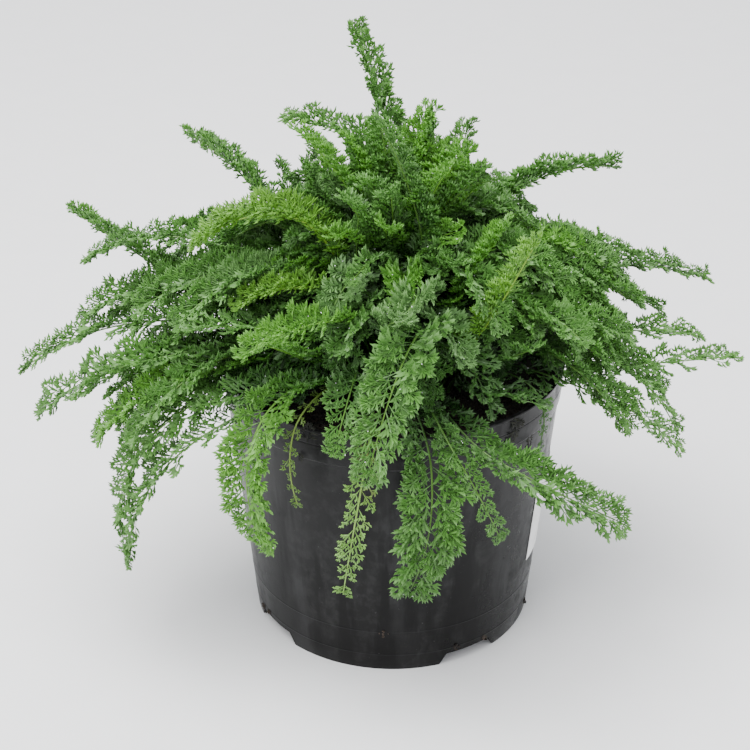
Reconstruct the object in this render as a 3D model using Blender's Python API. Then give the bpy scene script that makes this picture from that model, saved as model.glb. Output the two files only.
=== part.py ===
"""Yarrow in a round nursery pot: the pot, its label, the soil, and one solid for each feathery frond.

Metres, +Z up. The origin is the middle of the pot's underside, and the pot stands on Z = 0.
Azimuths are in degrees from +X towards +Y, so -90 is the front of the pot.
"""

from collections import namedtuple
from itertools import product
from math import cos, pi, radians, sin, sqrt, tan

import bmesh
import bpy
from mathutils import Matrix, Vector
from mathutils.bvhtree import BVHTree

MM = 0.001

# Pot: a 17 cm nursery pot, 140 mm tall.
POT_HEIGHT = 140.0
LIP_RADIUS = 84.0
LIP_HEIGHT = 1.2
BAND_RADIUS = 83.4
BAND_BOTTOM = 122.0
RING_HEIGHT = 132.0
RING_DEPTH = 0.5
WALL_TOP_RADIUS = 81.6
FOOT_RADIUS = 69.6
WALL = 1.5
SKIRT = 2.4
FLOOR_UNDERSIDE = 6.5
FLOOR_TOP = 8.2
MIDDLE_FOOT_RADIUS = 16.0
DRAFT = 0.5
BAND_STEP = 1.0
RING_HALF_HEIGHT = 0.6
LIP_STEP = 0.3
POT_SIDES = 36
SHARP_ANGLE = 30.0

# Drainage notches in the foot, and drain holes in the floor.
NOTCH_AZIMUTHS = (-147, -57, 33, 123)
NOTCH_BOTTOM_WIDTH = 32.0
NOTCH_TOP_WIDTH = 25.0
NOTCH_HEIGHT = 6.2
NOTCH_OVERCUT = 2.0
DRAIN_COUNT = 8
DRAIN_RADIUS = 3.5
DRAIN_RING = 50.0
DRAIN_SIDES = 6

# Label: a blank sticker on the right-hand wall.
LABEL_AZIMUTHS = (-25.0, 13.0)
LABEL_BOTTOM = 39.0
LABEL_TOP = 88.0
LABEL_THICKNESS = 0.4
LABEL_COLUMNS = 8

# Soil, with a hole for each stalk.
GAP = 0.3
SOIL_TOP = 128.0
HOLE_RADIUS = 1.9
HOLE_DEPTH = 14.0
HOLE_SIDES = 5
STALK_DEPTH = 13.2
CROWN_SPOTS = 57
CROWN_SPACING = 5.3
CROWN_START = 0.6
SOIL_CLEARANCE = 1.0
TABLE_CLEARANCE = 8.0

# Frond: a three-sided rib with a pointed leaflet on each side of each of its leafy stretches.
STALK_WIDTH = 2.0
STALK_THICKNESS = 1.5
RIB_WIDTH = 1.4
RIB_THICKNESS = 1.1
LEAFLET_SPACING = 7.8
FIRST_LEAFLET = 0.16
LEAFLET_SWEEP = 35.0
HIGH_LEAFLET_RISE = 20.0
LOW_LEAFLET_RISE = 5.0
SHORT_LEAFLET = 0.85
BLADE_NARROWEST = 0.2
BLADE_START = 0.08
BLADE_SPAN = 0.82
BLADE_POWER = 0.8
TIP_LEAFLET = 4.0
RIB_END = 0.985
RISE = 0.36
STALK_SECTIONS = 2
FEWEST_PAIRS = 6
FRAME_STEP = 0.02

Frond = namedtuple(
    "Frond",
    "name root_reach middle tip half_width finish side_leaf roll rise",
    defaults=(0, 0, RISE),
)

# Each place is (azimuth, distance from the pot's axis, height). The middle is where the frond bends over.
# The first fronds are those that stand out most, and those after them bend to keep clear of them.
# side_leaf is how far round the pot a smaller leaf of the same shoot stands from it, or 0 for none.
# roll is how far the blade has turned about its rib at the tip, in degrees.
# rise is how straight up the stalk starts, as a share of the way from the root to the middle.
FRONDS = (
    Frond("frond_front_hanging", 34, (-80, 100, 133), (-85, 102, 71), 14, "fresh"),
    Frond("frond_front_withered", 37, (-97, 97, 136), (-103, 100, 66), 8, "withered"),
    Frond("frond_front_right_hanging", 36, (-66, 106, 128), (-48, 144, 92), 13, "fresh"),
    Frond("frond_front_right_short", 37, (-74, 99, 136), (-66, 109, 98), 7, "fresh"),
    Frond("frond_left_hanging_outer", 38, (-154, 116, 132), (-156, 142, 79), 11, "fresh"),
    Frond("frond_left_hanging_long", 38, (-140, 103, 134), (-156, 140, 51), 11, "fresh"),
    Frond("frond_left_hanging_broad", 36, (-126, 102, 147), (-123, 110, 90), 12, "bright"),
    Frond("frond_left_hanging_thin", 37, (-121, 93, 140), (-120, 97, 108), 5, "yellowing"),
    Frond("frond_right_hanging_thin", 38, (-38, 88, 142), (-42, 89, 117), 5, "fresh"),
    Frond("frond_right_low_front", 36, (-26, 102, 144), (-21, 141, 120), 11, "fresh", -25),
    Frond("frond_right_low", 33, (-7, 110, 137), (-4, 161, 138), 11, "fresh"),
    Frond("frond_right_hooked", 30, (-13, 106, 151), (-11, 137, 120), 10, "fresh", -30),
    Frond("frond_right_low_rear", 30, (7, 102, 145), (8, 149, 139), 11, "fresh", 25),
    Frond("frond_right_spread", 28, (22, 89, 164), (16, 160, 160), 11, "fresh", 30),
    Frond("frond_left_low", 30, (180, 118, 156), (180, 177, 133), 12, "fresh", 28),
    Frond("frond_left_low_front", 32, (-162, 120, 155), (-170, 168, 126), 13, "fresh", 25),
    Frond("frond_left_low_inner", 34, (-155, 105, 150), (-158, 145, 127), 12, "bright", 25),
    Frond("frond_left_spear", 24, (167, 108, 166), (166, 161, 196), 10, "fresh", -30, 45),
    Frond("frond_left_middle", 26, (175, 104, 184), (174, 146, 158), 11, "fresh", 30),
    Frond("frond_left_upper", 18, (143, 92, 207), (140, 132, 217), 10, "fresh", 0, 55),
    Frond("frond_left_small_arch", 22, (153, 93, 195), (152, 129, 171), 10, "fresh", -30, -30, 0.5),
    Frond("frond_left_bright_arch", 18, (-164, 65, 221), (-170, 89, 208), 13, "yellow", 0, 0, 0.5),
    Frond("frond_top_tall", 6, (82, 31, 206), (106, 62, 282), 10, "fresh", 90),
    Frond("frond_top_left_rear", 8, (100, 17, 231), (148, 56, 250), 11, "fresh", 60),
    Frond("frond_top_left", 6, (-160, 14, 212), (-173, 43, 256), 11, "bright", -70),
    Frond("frond_top_middle", 9, (-50, 21, 207), (-109, 16, 263), 11, "fresh"),
    Frond("frond_top_right", 8, (2, 18, 196), (41, 38, 248), 12, "fresh", -80),
    Frond("frond_pale_upright", 16, (127, 48, 180), (124, 68, 222), 11, "underside"),
    Frond("frond_right_spear", 12, (37, 59, 201), (29, 122, 213), 10, "fresh", 0, -45, 0.6),
    Frond("frond_right_spear_inner", 12, (22, 30, 216), (18, 66, 222), 9, "fresh", 50, 0, 0.6),
    Frond("frond_right_long_arch", 14, (2, 51, 196), (5, 105, 175), 12, "bright", 0, 0, 0.6),
    Frond("frond_middle_yellow_rib", 20, (-50, 64, 178), (-36, 77, 217), 12, "yellow"),
    Frond("frond_middle_bright", 14, (-47, 44, 184), (-22, 54, 215), 12, "bright"),
    Frond("frond_middle_curled", 10, (-60, 30, 198), (-62, 51, 200), 11, "bright", 60),
    Frond("frond_middle_pale", 20, (-75, 50, 194), (-86, 80, 202), 12, "underside"),
    Frond("frond_front_broad", 24, (-80, 68, 190), (-93, 104, 154), 14, "fresh", 40),
    Frond("frond_front_left_bright", 22, (-99, 62, 186), (-109, 98, 186), 12, "bright", -30),
    Frond("frond_front_left_lobed", 30, (-104, 76, 162), (-104, 102, 148), 10, "fresh"),
    Frond("frond_middle_left_curled", 22, (-106, 48, 184), (-104, 70, 210), 10, "underside"),
    Frond("frond_left_small_bright", 22, (-148, 56, 192), (-158, 82, 188), 11, "yellow"),
    Frond("frond_left_star", 30, (-134, 66, 170), (-130, 96, 176), 11, "fresh", 30),
    Frond("frond_left_grey", 20, (-157, 32, 198), (-152, 60, 208), 12, "underside", 0, 0, 0.6),
    Frond("frond_right_inner", 24, (-25, 70, 170), (-18, 112, 156), 12, "fresh", -35),
    Frond("frond_right_inner_rear", 22, (10, 76, 178), (8, 118, 172), 11, "fresh", 40),
    Frond("frond_front_right_low", 31, (-20, 77, 163), (-30, 112, 150), 10, "fresh", 0, 0, 0.6),
    Frond("frond_rear_right_spread", 28, (42, 88, 168), (44, 146, 150), 12, "fresh", 30),
    Frond("frond_rear_spread", 30, (70, 86, 164), (72, 142, 136), 12, "fresh", 30),
    Frond("frond_rear_left_spread", 30, (100, 86, 164), (98, 142, 140), 12, "bright", -30),
    Frond("frond_rear_left_low", 30, (130, 88, 162), (128, 146, 134), 12, "fresh", 25),
    Frond("frond_rear_right_hanging", 38, (54, 98, 146), (58, 122, 78), 11, "fresh"),
    Frond("frond_rear_hanging", 38, (84, 96, 146), (86, 116, 72), 12, "fresh"),
    Frond("frond_rear_left_hanging", 38, (116, 96, 146), (114, 120, 84), 11, "yellow"),
    Frond("frond_rear_right_upper", 16, (58, 62, 190), (54, 106, 190), 12, "fresh", 30),
    Frond("frond_rear_upper", 16, (84, 60, 188), (82, 104, 180), 12, "bright"),
    Frond("frond_rear_left_upper", 18, (114, 66, 190), (114, 108, 194), 12, "fresh", -30),
)

# The smaller leaf of a shoot leaves its stalk just above the soil.
SIDE_LEAF_START = 0.05
SIDE_LEAF_REACH = 0.62
SIDE_LEAF_HEIGHT = 0.7
SIDE_LEAF_WIDTH = 0.9
SIDE_LEAF_STALK = 0.8
SIDE_LEAF_LOWEST = 146.0
SIDE_LEAF_UPRIGHT = 0.3
SHOOT_BASE = 16.0

# How a frond may bend to keep clear of the others: its tip moves this far sideways, up and outwards.
SIDE_STEPS = (0, 6, -6, 12, -12, 18, -18, 24, -24, 32, -32, 40, -40)
RISE_STEPS = (0, 6, -6, 12, -12, 18, -18, 26, 34)
REACH_STEPS = (0, -8, 8, -16, 16)
STEP_COSTS = (1, 1.2, 1.5)
WIDTH_STEPS = (1, 0.85, 0.7)

# Materials: base colour and roughness.
MATERIALS = {
    "charcoal_plastic": ((0.045, 0.045, 0.048), 0.45),
    "label_paper": ((0.75, 0.75, 0.74), 0.6),
    "dark_soil": ((0.03, 0.022, 0.017), 0.95),
    "fresh_leaf": ((0.075, 0.165, 0.055), 0.6),
    "bright_leaf": ((0.16, 0.28, 0.08), 0.6),
    "yellow_leaf": ((0.27, 0.36, 0.09), 0.6),
    "underside_leaf": ((0.22, 0.32, 0.19), 0.6),
    "yellowing_leaf": ((0.35, 0.33, 0.12), 0.6),
    "withered_leaf": ((0.30, 0.29, 0.12), 0.6),
}


def clear_scene():
    for item in list(bpy.data.objects):
        bpy.data.objects.remove(item)


def material_called(name):
    """The material of this name, made when it is first asked for."""
    found = bpy.data.materials.get(name)
    if found:
        return found
    colour, roughness = MATERIALS[name]
    material = bpy.data.materials.new(name)
    material.use_nodes = True
    shader = material.node_tree.nodes["Principled BSDF"]
    shader.inputs["Base Color"].default_value = (*colour, 1.0)
    shader.inputs["Roughness"].default_value = roughness
    return material


def add_object(name, mesh_data, material=None):
    """An object from a bmesh in millimetres, made metres here."""
    mesh = bpy.data.meshes.new(name)
    bmesh.ops.scale(mesh_data, vec=(MM, MM, MM), verts=mesh_data.verts)
    mesh_data.to_mesh(mesh)
    mesh_data.free()
    if material:
        mesh.materials.append(material_called(material))
    item = bpy.data.objects.new(name, mesh)
    bpy.context.collection.objects.link(item)
    return item


def smooth(item):
    """Shades the round faces smooth and keeps the hard edges."""
    item.data.shade_smooth()
    item.data.set_sharp_from_angle(angle=radians(SHARP_ANGLE))


def around(azimuth, reach, height):
    angle = radians(azimuth)
    return Vector((reach * cos(angle), reach * sin(angle), height))


def wall_radius(height):
    """Outer radius of the tapered wall below the band."""
    return FOOT_RADIUS + (WALL_TOP_RADIUS - FOOT_RADIUS) * height / BAND_BOTTOM


def inner_radius(height):
    return wall_radius(height) - WALL


def turned(outline, sides):
    """A closed body turned from an outline of (radius, height) points that starts and ends on the axis."""
    shape = bmesh.new()
    points = [shape.verts.new((radius, 0, height)) for radius, height in outline]
    edges = [shape.edges.new(pair) for pair in zip(points, points[1:])]
    bmesh.ops.spin(
        shape,
        geom=points + edges,
        cent=(0, 0, 0),
        axis=(0, 0, 1),
        angle=2 * pi,
        steps=sides,
        use_merge=True,
    )
    bmesh.ops.remove_doubles(shape, verts=shape.verts, dist=0.001)
    bmesh.ops.recalc_face_normals(shape, faces=shape.faces)
    return shape


def cut(item, cutter, name):
    cutter.hide_render = True
    cutter.display_type = "WIRE"
    modifier = item.modifiers.new(name, "BOOLEAN")
    modifier.operation = "DIFFERENCE"
    modifier.object = cutter


def prism(shape, sides, radius, place, depth):
    """Adds an upright prism, its middle at place."""
    bmesh.ops.create_cone(
        shape,
        cap_ends=True,
        segments=sides,
        radius1=radius,
        radius2=radius,
        depth=depth,
        matrix=Matrix.Translation(place),
    )


def notch_cutter():
    """Four wedges with sloped ends, which pass through the skirt of the foot."""
    shape = bmesh.new()
    inner = FOOT_RADIUS - 4 * SKIRT
    outer = FOOT_RADIUS + 4 * SKIRT
    slope = (NOTCH_BOTTOM_WIDTH - NOTCH_TOP_WIDTH) / 2 / NOTCH_HEIGHT
    bottom = NOTCH_BOTTOM_WIDTH / 2 + slope * NOTCH_OVERCUT
    top = NOTCH_TOP_WIDTH / 2
    ends = ((-bottom, -NOTCH_OVERCUT), (bottom, -NOTCH_OVERCUT), (top, NOTCH_HEIGHT), (-top, NOTCH_HEIGHT))
    for azimuth in NOTCH_AZIMUTHS:
        corners = [shape.verts.new((inner, side, height)) for side, height in ends]
        face = shape.faces.new(corners)
        grown = bmesh.ops.extrude_face_region(shape, geom=[face])["geom"]
        far = [part for part in grown if isinstance(part, bmesh.types.BMVert)]
        bmesh.ops.translate(shape, verts=far, vec=(outer - inner, 0, 0))
        bmesh.ops.rotate(shape, verts=corners + far, matrix=Matrix.Rotation(radians(azimuth), 3, "Z"))
    bmesh.ops.recalc_face_normals(shape, faces=shape.faces)
    return add_object("notch_cutter", shape)


def drain_cutter():
    shape = bmesh.new()
    for index in range(DRAIN_COUNT):
        azimuth = NOTCH_AZIMUTHS[0] + index * 360 / DRAIN_COUNT
        prism(shape, DRAIN_SIDES, DRAIN_RADIUS, around(azimuth, DRAIN_RING, FLOOR_TOP), 3 * FLOOR_TOP / 2)
    return add_object("drain_cutter", shape)


def make_pot():
    outline = (
        (0, 0),
        (MIDDLE_FOOT_RADIUS, 0),
        (MIDDLE_FOOT_RADIUS + DRAFT, FLOOR_UNDERSIDE),
        (FOOT_RADIUS - SKIRT - DRAFT, FLOOR_UNDERSIDE),
        (FOOT_RADIUS - SKIRT, 0),
        (FOOT_RADIUS, 0),
        (WALL_TOP_RADIUS, BAND_BOTTOM),
        (BAND_RADIUS - BAND_STEP, BAND_BOTTOM + BAND_STEP),
        (BAND_RADIUS, RING_HEIGHT - RING_HALF_HEIGHT),
        (BAND_RADIUS - RING_DEPTH, RING_HEIGHT),
        (BAND_RADIUS, RING_HEIGHT + RING_HALF_HEIGHT),
        (BAND_RADIUS, POT_HEIGHT - LIP_HEIGHT - LIP_STEP),
        (LIP_RADIUS, POT_HEIGHT - LIP_HEIGHT),
        (LIP_RADIUS, POT_HEIGHT),
        (inner_radius(POT_HEIGHT), POT_HEIGHT),
        (inner_radius(FLOOR_TOP), FLOOR_TOP),
        (0, FLOOR_TOP),
    )
    pot = add_object("nursery_pot", turned(outline, POT_SIDES), "charcoal_plastic")
    smooth(pot)
    cut(pot, notch_cutter(), "Foot notches")
    cut(pot, drain_cutter(), "Drain holes")
    return pot


def make_label():
    """A thin skin on the wall, bent round it."""
    shape = bmesh.new()
    columns = []
    start, end = LABEL_AZIMUTHS
    for index in range(LABEL_COLUMNS + 1):
        azimuth = start + (end - start) * index / LABEL_COLUMNS
        ring = []
        for height in (LABEL_BOTTOM, LABEL_TOP):
            reach = wall_radius(height) + GAP
            ring.append((reach, height))
            ring.append((reach + LABEL_THICKNESS, height))
        order = (ring[0], ring[1], ring[3], ring[2])
        columns.append([shape.verts.new(around(azimuth, reach, height)) for reach, height in order])
    for left, right in zip(columns, columns[1:]):
        for side in range(4):
            shape.faces.new((left[side], right[side], right[side - 3], left[side - 3]))
    shape.faces.new(columns[0])
    shape.faces.new(columns[-1])
    bmesh.ops.recalc_face_normals(shape, faces=shape.faces)
    label = add_object("blank_label", shape, "label_paper")
    smooth(label)
    return label


def crown_spots():
    """Places for the stalks, evenly spread like seeds in a flower head."""
    golden = 180 * (3 - sqrt(5))
    reaches = [CROWN_SPACING * sqrt(index + CROWN_START) for index in range(CROWN_SPOTS)]
    return [around(index * golden, reach, SOIL_TOP) for index, reach in enumerate(reaches)]


def roots_of(fronds):
    """Each frond takes the free spot nearest the place that it would like to leave the soil from."""
    free = crown_spots()
    roots = []
    for frond in fronds:
        wanted = around(frond.middle[0], frond.root_reach, SOIL_TOP)
        spot = min(free, key=lambda place: (place - wanted).length)
        free.remove(spot)
        roots.append(spot)
    return roots


def make_soil(roots):
    bottom = FLOOR_TOP + GAP
    outline = (
        (0, bottom),
        (inner_radius(bottom) - GAP, bottom),
        (inner_radius(SOIL_TOP) - GAP, SOIL_TOP),
        (0, SOIL_TOP),
    )
    soil = add_object("potting_soil", turned(outline, POT_SIDES), "dark_soil")
    smooth(soil)
    holes = bmesh.new()
    for root in roots:
        prism(holes, HOLE_SIDES, HOLE_RADIUS, root, 2 * HOLE_DEPTH)
    cut(soil, add_object("stalk_hole_cutter", holes), "Stalk holes")


def rib_path(root, middle, tip, rise, upright):
    """Two curves that join smoothly at the middle: one up from the root, and one on to the tip."""
    first = (middle - root).length
    second = (tip - middle).length
    split = first / (first + second)
    heading = ((middle - root) / first * second + (tip - middle) / second * first).normalized()
    lower = root + rise * (upright * Vector((0, 0, first)) + (1 - upright) * (middle - root))
    upper = middle - heading * first / 3
    further = middle + heading * second / 2

    def place(part):
        if part < split:
            done = part / split
            rest = 1 - done
            return rest**3 * root + 3 * rest**2 * done * lower + 3 * rest * done**2 * upper + done**3 * middle
        done = (part - split) / (1 - split)
        rest = 1 - done
        return rest**2 * middle + 2 * rest * done * further + done**2 * tip

    return place


def bent(frond, root, bend, upright):
    """The frond's path with its tip moved sideways, up and outwards by bend, and its middle half as far."""
    middle = around(*frond.middle)
    tip = around(*frond.tip)
    sideways, rise, outwards = bend
    heading = (tip - root) * Vector((1, 1, 0))
    heading.normalize()
    across = Vector((-heading.y, heading.x, 0))
    shift = across * sideways + Vector((0, 0, rise)) + heading * outwards
    return rib_path(root, middle + shift / 2, tip + shift, frond.rise, upright)


def side_leaf(frond, stalk):
    """The smaller leaf of a shoot, and where it starts, inside the stalk."""

    def smaller(place):
        azimuth, reach, height = place
        raised = SOIL_TOP + (height - SOIL_TOP) * SIDE_LEAF_HEIGHT
        return azimuth + frond.side_leaf, reach * SIDE_LEAF_REACH, max(raised, SIDE_LEAF_LOWEST)

    leaf = frond._replace(
        middle=smaller(frond.middle),
        tip=smaller(frond.tip),
        half_width=frond.half_width * SIDE_LEAF_WIDTH,
    )
    return leaf, stalk(SIDE_LEAF_START)


def path_length(place, steps=24):
    points = [place(index / steps) for index in range(steps + 1)]
    return sum((after - before).length for before, after in zip(points, points[1:]))


def blade_frame(place, part, roll):
    """The rib's direction, the direction across the blade and the way that the blade's upper face looks."""
    along = (place(min(part + FRAME_STEP, 1)) - place(max(part - FRAME_STEP, 0))).normalized()
    chord = place(1) - place(0)
    level = Vector((-chord.y, chord.x, 0)).normalized()
    across = (level - along * level.dot(along)).normalized()
    across.rotate(Matrix.Rotation(radians(roll) * part, 3, along))
    return along, across, along.cross(across)


def leaflet_reach(part, half_width):
    """Leaflets are short near the stalk, longest past the middle and short again at the tip."""
    leafy = (part - FIRST_LEAFLET) / (1 - FIRST_LEAFLET)
    swell = sin(pi * (BLADE_START + BLADE_SPAN * leafy)) ** BLADE_POWER
    return half_width * (BLADE_NARROWEST + (1 - BLADE_NARROWEST) * swell)


def rib_section(shape, place, frond, part, grow, stalk=1.0, buried=0.0):
    """Three corners of the rib: two below, left and right, and one on the ridge."""
    along, across, upward = blade_frame(place, part, frond.roll)
    middle = place(part)
    if part == 0:
        upward = Vector((0, 0, 1)).cross(across)
    middle = middle - Vector((0, 0, buried))
    taper = min(1, part / FIRST_LEAFLET)
    width = (STALK_WIDTH * stalk + (RIB_WIDTH - STALK_WIDTH * stalk) * taper) / 2 + grow
    thickness = (STALK_THICKNESS * stalk + (RIB_THICKNESS - STALK_THICKNESS * stalk) * taper) / 2 + grow
    corners = ((-width, -thickness), (width, -thickness), (0, thickness))
    return [shape.verts.new(middle + across * x + upward * y) for x, y in corners]


def frond_solid(place, frond, grow=0.0, side=False):
    """One closed solid: a three-sided rib whose two upper faces are drawn out to the tips of the leaflets."""
    pairs = max(FEWEST_PAIRS, round(path_length(place) * (1 - FIRST_LEAFLET) / LEAFLET_SPACING))
    step = (RIB_END - FIRST_LEAFLET) / pairs
    parts = [FIRST_LEAFLET * index / STALK_SECTIONS for index in range(STALK_SECTIONS)]
    parts += [FIRST_LEAFLET + step * index for index in range(pairs + 1)]
    shape = bmesh.new()
    stalk = SIDE_LEAF_STALK if side else 1
    sections = [] if side else [rib_section(shape, place, frond, 0, grow, buried=STALK_DEPTH)]
    sections += [rib_section(shape, place, frond, part, grow, stalk) for part in parts]
    bare = len(sections) - pairs - 1
    drawn_out = []
    for index, (before, after) in enumerate(zip(sections, sections[1:])):
        for corner in range(3):
            face = shape.faces.new((before[corner], before[corner - 2], after[corner - 2], after[corner]))
            if corner and index >= bare:
                drawn_out.append((face, index - bare, 1 if corner == 1 else -1))
    shape.faces.new(sections[0])
    end = shape.faces.new(sections[-1])
    for face, index, hand in drawn_out:
        part = FIRST_LEAFLET + (index + 0.5) * step
        along, across, upward = blade_frame(place, part, frond.roll)
        reach = leaflet_reach(part, frond.half_width)
        if index % 2 == (hand > 0):
            reach *= SHORT_LEAFLET
        lift = HIGH_LEAFLET_RISE if index % 2 else LOW_LEAFLET_RISE
        offset = across * hand + along * tan(radians(LEAFLET_SWEEP)) + upward * tan(radians(lift))
        point = bmesh.ops.poke(shape, faces=[face])["verts"][0]
        point.co = place(part) + offset * (reach + grow)
    along = blade_frame(place, 1, frond.roll)[0]
    point = bmesh.ops.poke(shape, faces=[end])["verts"][0]
    point.co = place(1) + along * (TIP_LEAFLET + grow)
    bmesh.ops.triangulate(shape, faces=shape.faces)
    bmesh.ops.recalc_face_normals(shape, faces=shape.faces)
    return shape


def above_soil(shape, root):
    """Whether all of the frond but its stalk keeps above the soil, and above the table outside the pot."""
    for vert in shape.verts:
        inside = vert.co.xy.length < LIP_RADIUS
        lowest = SOIL_TOP + SOIL_CLEARANCE if inside else TABLE_CLEARANCE
        stalk = (vert.co - root).xy.length < HOLE_RADIUS
        if vert.co.z < lowest and not stalk:
            return False
    return True


def bends():
    """Every bend, the smallest first."""
    every = product(SIDE_STEPS, RISE_STEPS, REACH_STEPS)
    return sorted(every, key=lambda bend: sum(cost * abs(part) for cost, part in zip(STEP_COSTS, bend)))


def crossings(shape, trees):
    tree = BVHTree.FromBMesh(shape)
    return sum(len(tree.overlap(other)) for other in trees)


def crosses_itself(shape):
    """Whether two faces that share no corner cross each other."""
    tree = BVHTree.FromBMesh(shape)
    corners = [set(face.verts) for face in shape.faces]
    return any(not corners[one] & corners[other] for one, other in tree.overlap(tree))


def trim(shape, start):
    """Takes away the base of a side leaf, which grows out of its own stalk."""
    base = [face for face in shape.faces if (face.calc_center_median() - start).length < SHOOT_BASE]
    bmesh.ops.delete(shape, geom=base, context="FACES")


def least_bend(frond, root, others, stalk=None):
    """The frond's path and width where it is free, or else with the least bend that clears the others."""
    upright = SIDE_LEAF_UPRIGHT if stalk else 1.0
    for width, bend in product(WIDTH_STEPS, bends()):
        place = bent(frond, root, bend, upright)
        narrowed = frond._replace(half_width=frond.half_width * width)
        trial = frond_solid(place, narrowed, GAP, bool(stalk))
        blocked = not above_soil(trial, root) or crossings(trial, others)
        if stalk and not blocked:
            trim(trial, root)
            blocked = crossings(trial, [stalk])
        trial.free()
        if not blocked and not crosses_itself(frond_solid(place, narrowed, side=bool(stalk))):
            return place, narrowed
    return None


def place_fronds(roots, obstacles):
    """All the long fronds first, and then the smaller leaves of their shoots where there is room."""
    taken = {}
    shapes = {}
    paths = {}
    for frond, root in zip(FRONDS, roots):
        paths[frond], placed = least_bend(frond, root, [*obstacles, *taken.values()])
        shapes[frond] = [frond_solid(paths[frond], placed)]
        taken[frond] = BVHTree.FromBMesh(shapes[frond][0])
    for frond in FRONDS:
        if not frond.side_leaf:
            continue
        leaf, start = side_leaf(frond, paths[frond])
        others = [tree for owner, tree in taken.items() if owner != frond]
        found = least_bend(leaf, start, [*obstacles, *others], taken[frond])
        if found:
            shape = frond_solid(*found, side=True)
            shapes[frond].append(shape)
            taken[leaf] = BVHTree.FromBMesh(shape)
    return shapes


def solid_tree(item):
    """The finished solid of an object, its cuts made, in millimetres."""
    graph = bpy.context.evaluated_depsgraph_get()
    shape = bmesh.new()
    shape.from_object(item, graph)
    bmesh.ops.scale(shape, vec=(1 / MM, 1 / MM, 1 / MM), verts=shape.verts)
    tree = BVHTree.FromBMesh(shape)
    shape.free()
    return tree


def fuse(item, shape):
    """Joins a second solid to an object."""
    leaf = add_object(item.name + "_side_leaf", shape)
    modifier = item.modifiers.new("Side leaf", "BOOLEAN")
    modifier.operation = "UNION"
    modifier.object = leaf
    leaf.hide_render = True
    leaf.display_type = "WIRE"


def main():
    clear_scene()
    pot = make_pot()
    label = make_label()
    roots = roots_of(FRONDS)
    make_soil(roots)
    obstacles = [solid_tree(pot), solid_tree(label)]
    for frond, shapes in place_fronds(roots, obstacles).items():
        item = add_object(frond.name, shapes[0], frond.finish + "_leaf")
        for shape in shapes[1:]:
            fuse(item, shape)


main()
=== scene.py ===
import random
from collections import namedtuple
from itertools import product
from math import cos, pi, radians, sin, sqrt, tan

import bmesh
import bpy
import numpy as np
from mathutils import Euler, Matrix, Vector, kdtree, noise


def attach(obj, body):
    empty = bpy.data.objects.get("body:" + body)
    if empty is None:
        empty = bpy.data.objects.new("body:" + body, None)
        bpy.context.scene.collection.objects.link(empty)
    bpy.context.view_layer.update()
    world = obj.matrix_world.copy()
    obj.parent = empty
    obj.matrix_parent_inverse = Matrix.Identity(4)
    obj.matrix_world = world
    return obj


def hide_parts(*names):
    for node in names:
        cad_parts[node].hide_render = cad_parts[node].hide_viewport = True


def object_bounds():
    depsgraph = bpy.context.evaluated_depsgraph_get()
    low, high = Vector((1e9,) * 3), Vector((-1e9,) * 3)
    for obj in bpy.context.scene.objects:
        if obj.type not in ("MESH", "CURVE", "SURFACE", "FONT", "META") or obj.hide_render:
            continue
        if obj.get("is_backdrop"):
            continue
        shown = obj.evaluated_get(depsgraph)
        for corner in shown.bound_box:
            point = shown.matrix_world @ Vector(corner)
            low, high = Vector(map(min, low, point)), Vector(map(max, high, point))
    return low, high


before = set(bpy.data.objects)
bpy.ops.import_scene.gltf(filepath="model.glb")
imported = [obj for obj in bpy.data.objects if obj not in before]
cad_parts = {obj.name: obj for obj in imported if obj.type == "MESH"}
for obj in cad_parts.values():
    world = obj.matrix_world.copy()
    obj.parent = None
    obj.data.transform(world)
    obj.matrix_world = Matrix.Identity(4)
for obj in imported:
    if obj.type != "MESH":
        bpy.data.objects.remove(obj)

cad_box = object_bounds()

MM = 0.001

# Camera, where it stands in metres, and its lens and sensor in millimetres.
CAMERA_PLACE = (0.0, -0.858, 0.606)
CAMERA_PITCH = 60.82
CAMERA_TURN = 0.59
CAMERA_LENS = 96.0
CAMERA_SENSOR = 36.0

# Floor and light. Each lamp has its place, the place it faces, its size and its power.
FLOOR_REACH = 4
SKY_COLOUR = (0.95, 0.96, 1.0, 1)
SKY_STRENGTH = 1.4
OVERHEAD_LIGHT = ((-0.3, -0.2, 1.6), (0, 0, 0.1), 1.2, 46)
FRONT_LEFT_LIGHT = ((-1.2, -1.2, 1.0), (0, 0, 0.12), 0.9, 8)

# Pot, in millimetres, as in the solids.
POT_HEIGHT = 140.0
LIP_RADIUS = 84.0
LIP_HEIGHT = 1.2
BAND_RADIUS = 83.4
BAND_BOTTOM = 122.0
BAND_STEP = 1.0
RING_HEIGHT = 132.0
RING_DEPTH = 0.2
RING_HALF_HEIGHT = 0.5
LIP_STEP = 0.3
WALL_TOP_RADIUS = 81.6
FOOT_RADIUS = 69.6
WALL = 1.5
SKIRT = 2.4
DRAFT = 0.5
FLOOR_UNDERSIDE = 6.5
FLOOR_TOP = 8.2
MIDDLE_FOOT_RADIUS = 16.0
MOULDING_HEIGHTS = (9.5, 24.0)
MOULDING_DEPTH = 0.14
POT_SIDES = 144
SHARP_ANGLE = 40.0
CORNER_ROUNDING = 0.25
NOTCH_AZIMUTHS = (-147, -57, 33, 123)
NOTCH_BOTTOM_WIDTH = 32.0
NOTCH_TOP_WIDTH = 25.0
NOTCH_HEIGHT = 6.2
NOTCH_OVERCUT = 2.0
DRAIN_COUNT = 8
DRAIN_RADIUS = 3.5
DRAIN_RING = 50.0
DRAIN_SIDES = 24

# Label on the right-hand wall.
LABEL_AZIMUTHS = (-25.0, 13.0)
LABEL_BOTTOM = 39.0
LABEL_TOP = 88.0
LABEL_GAP = 0.15
LABEL_THICKNESS = 0.25
LABEL_CREASE = 0.12

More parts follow.
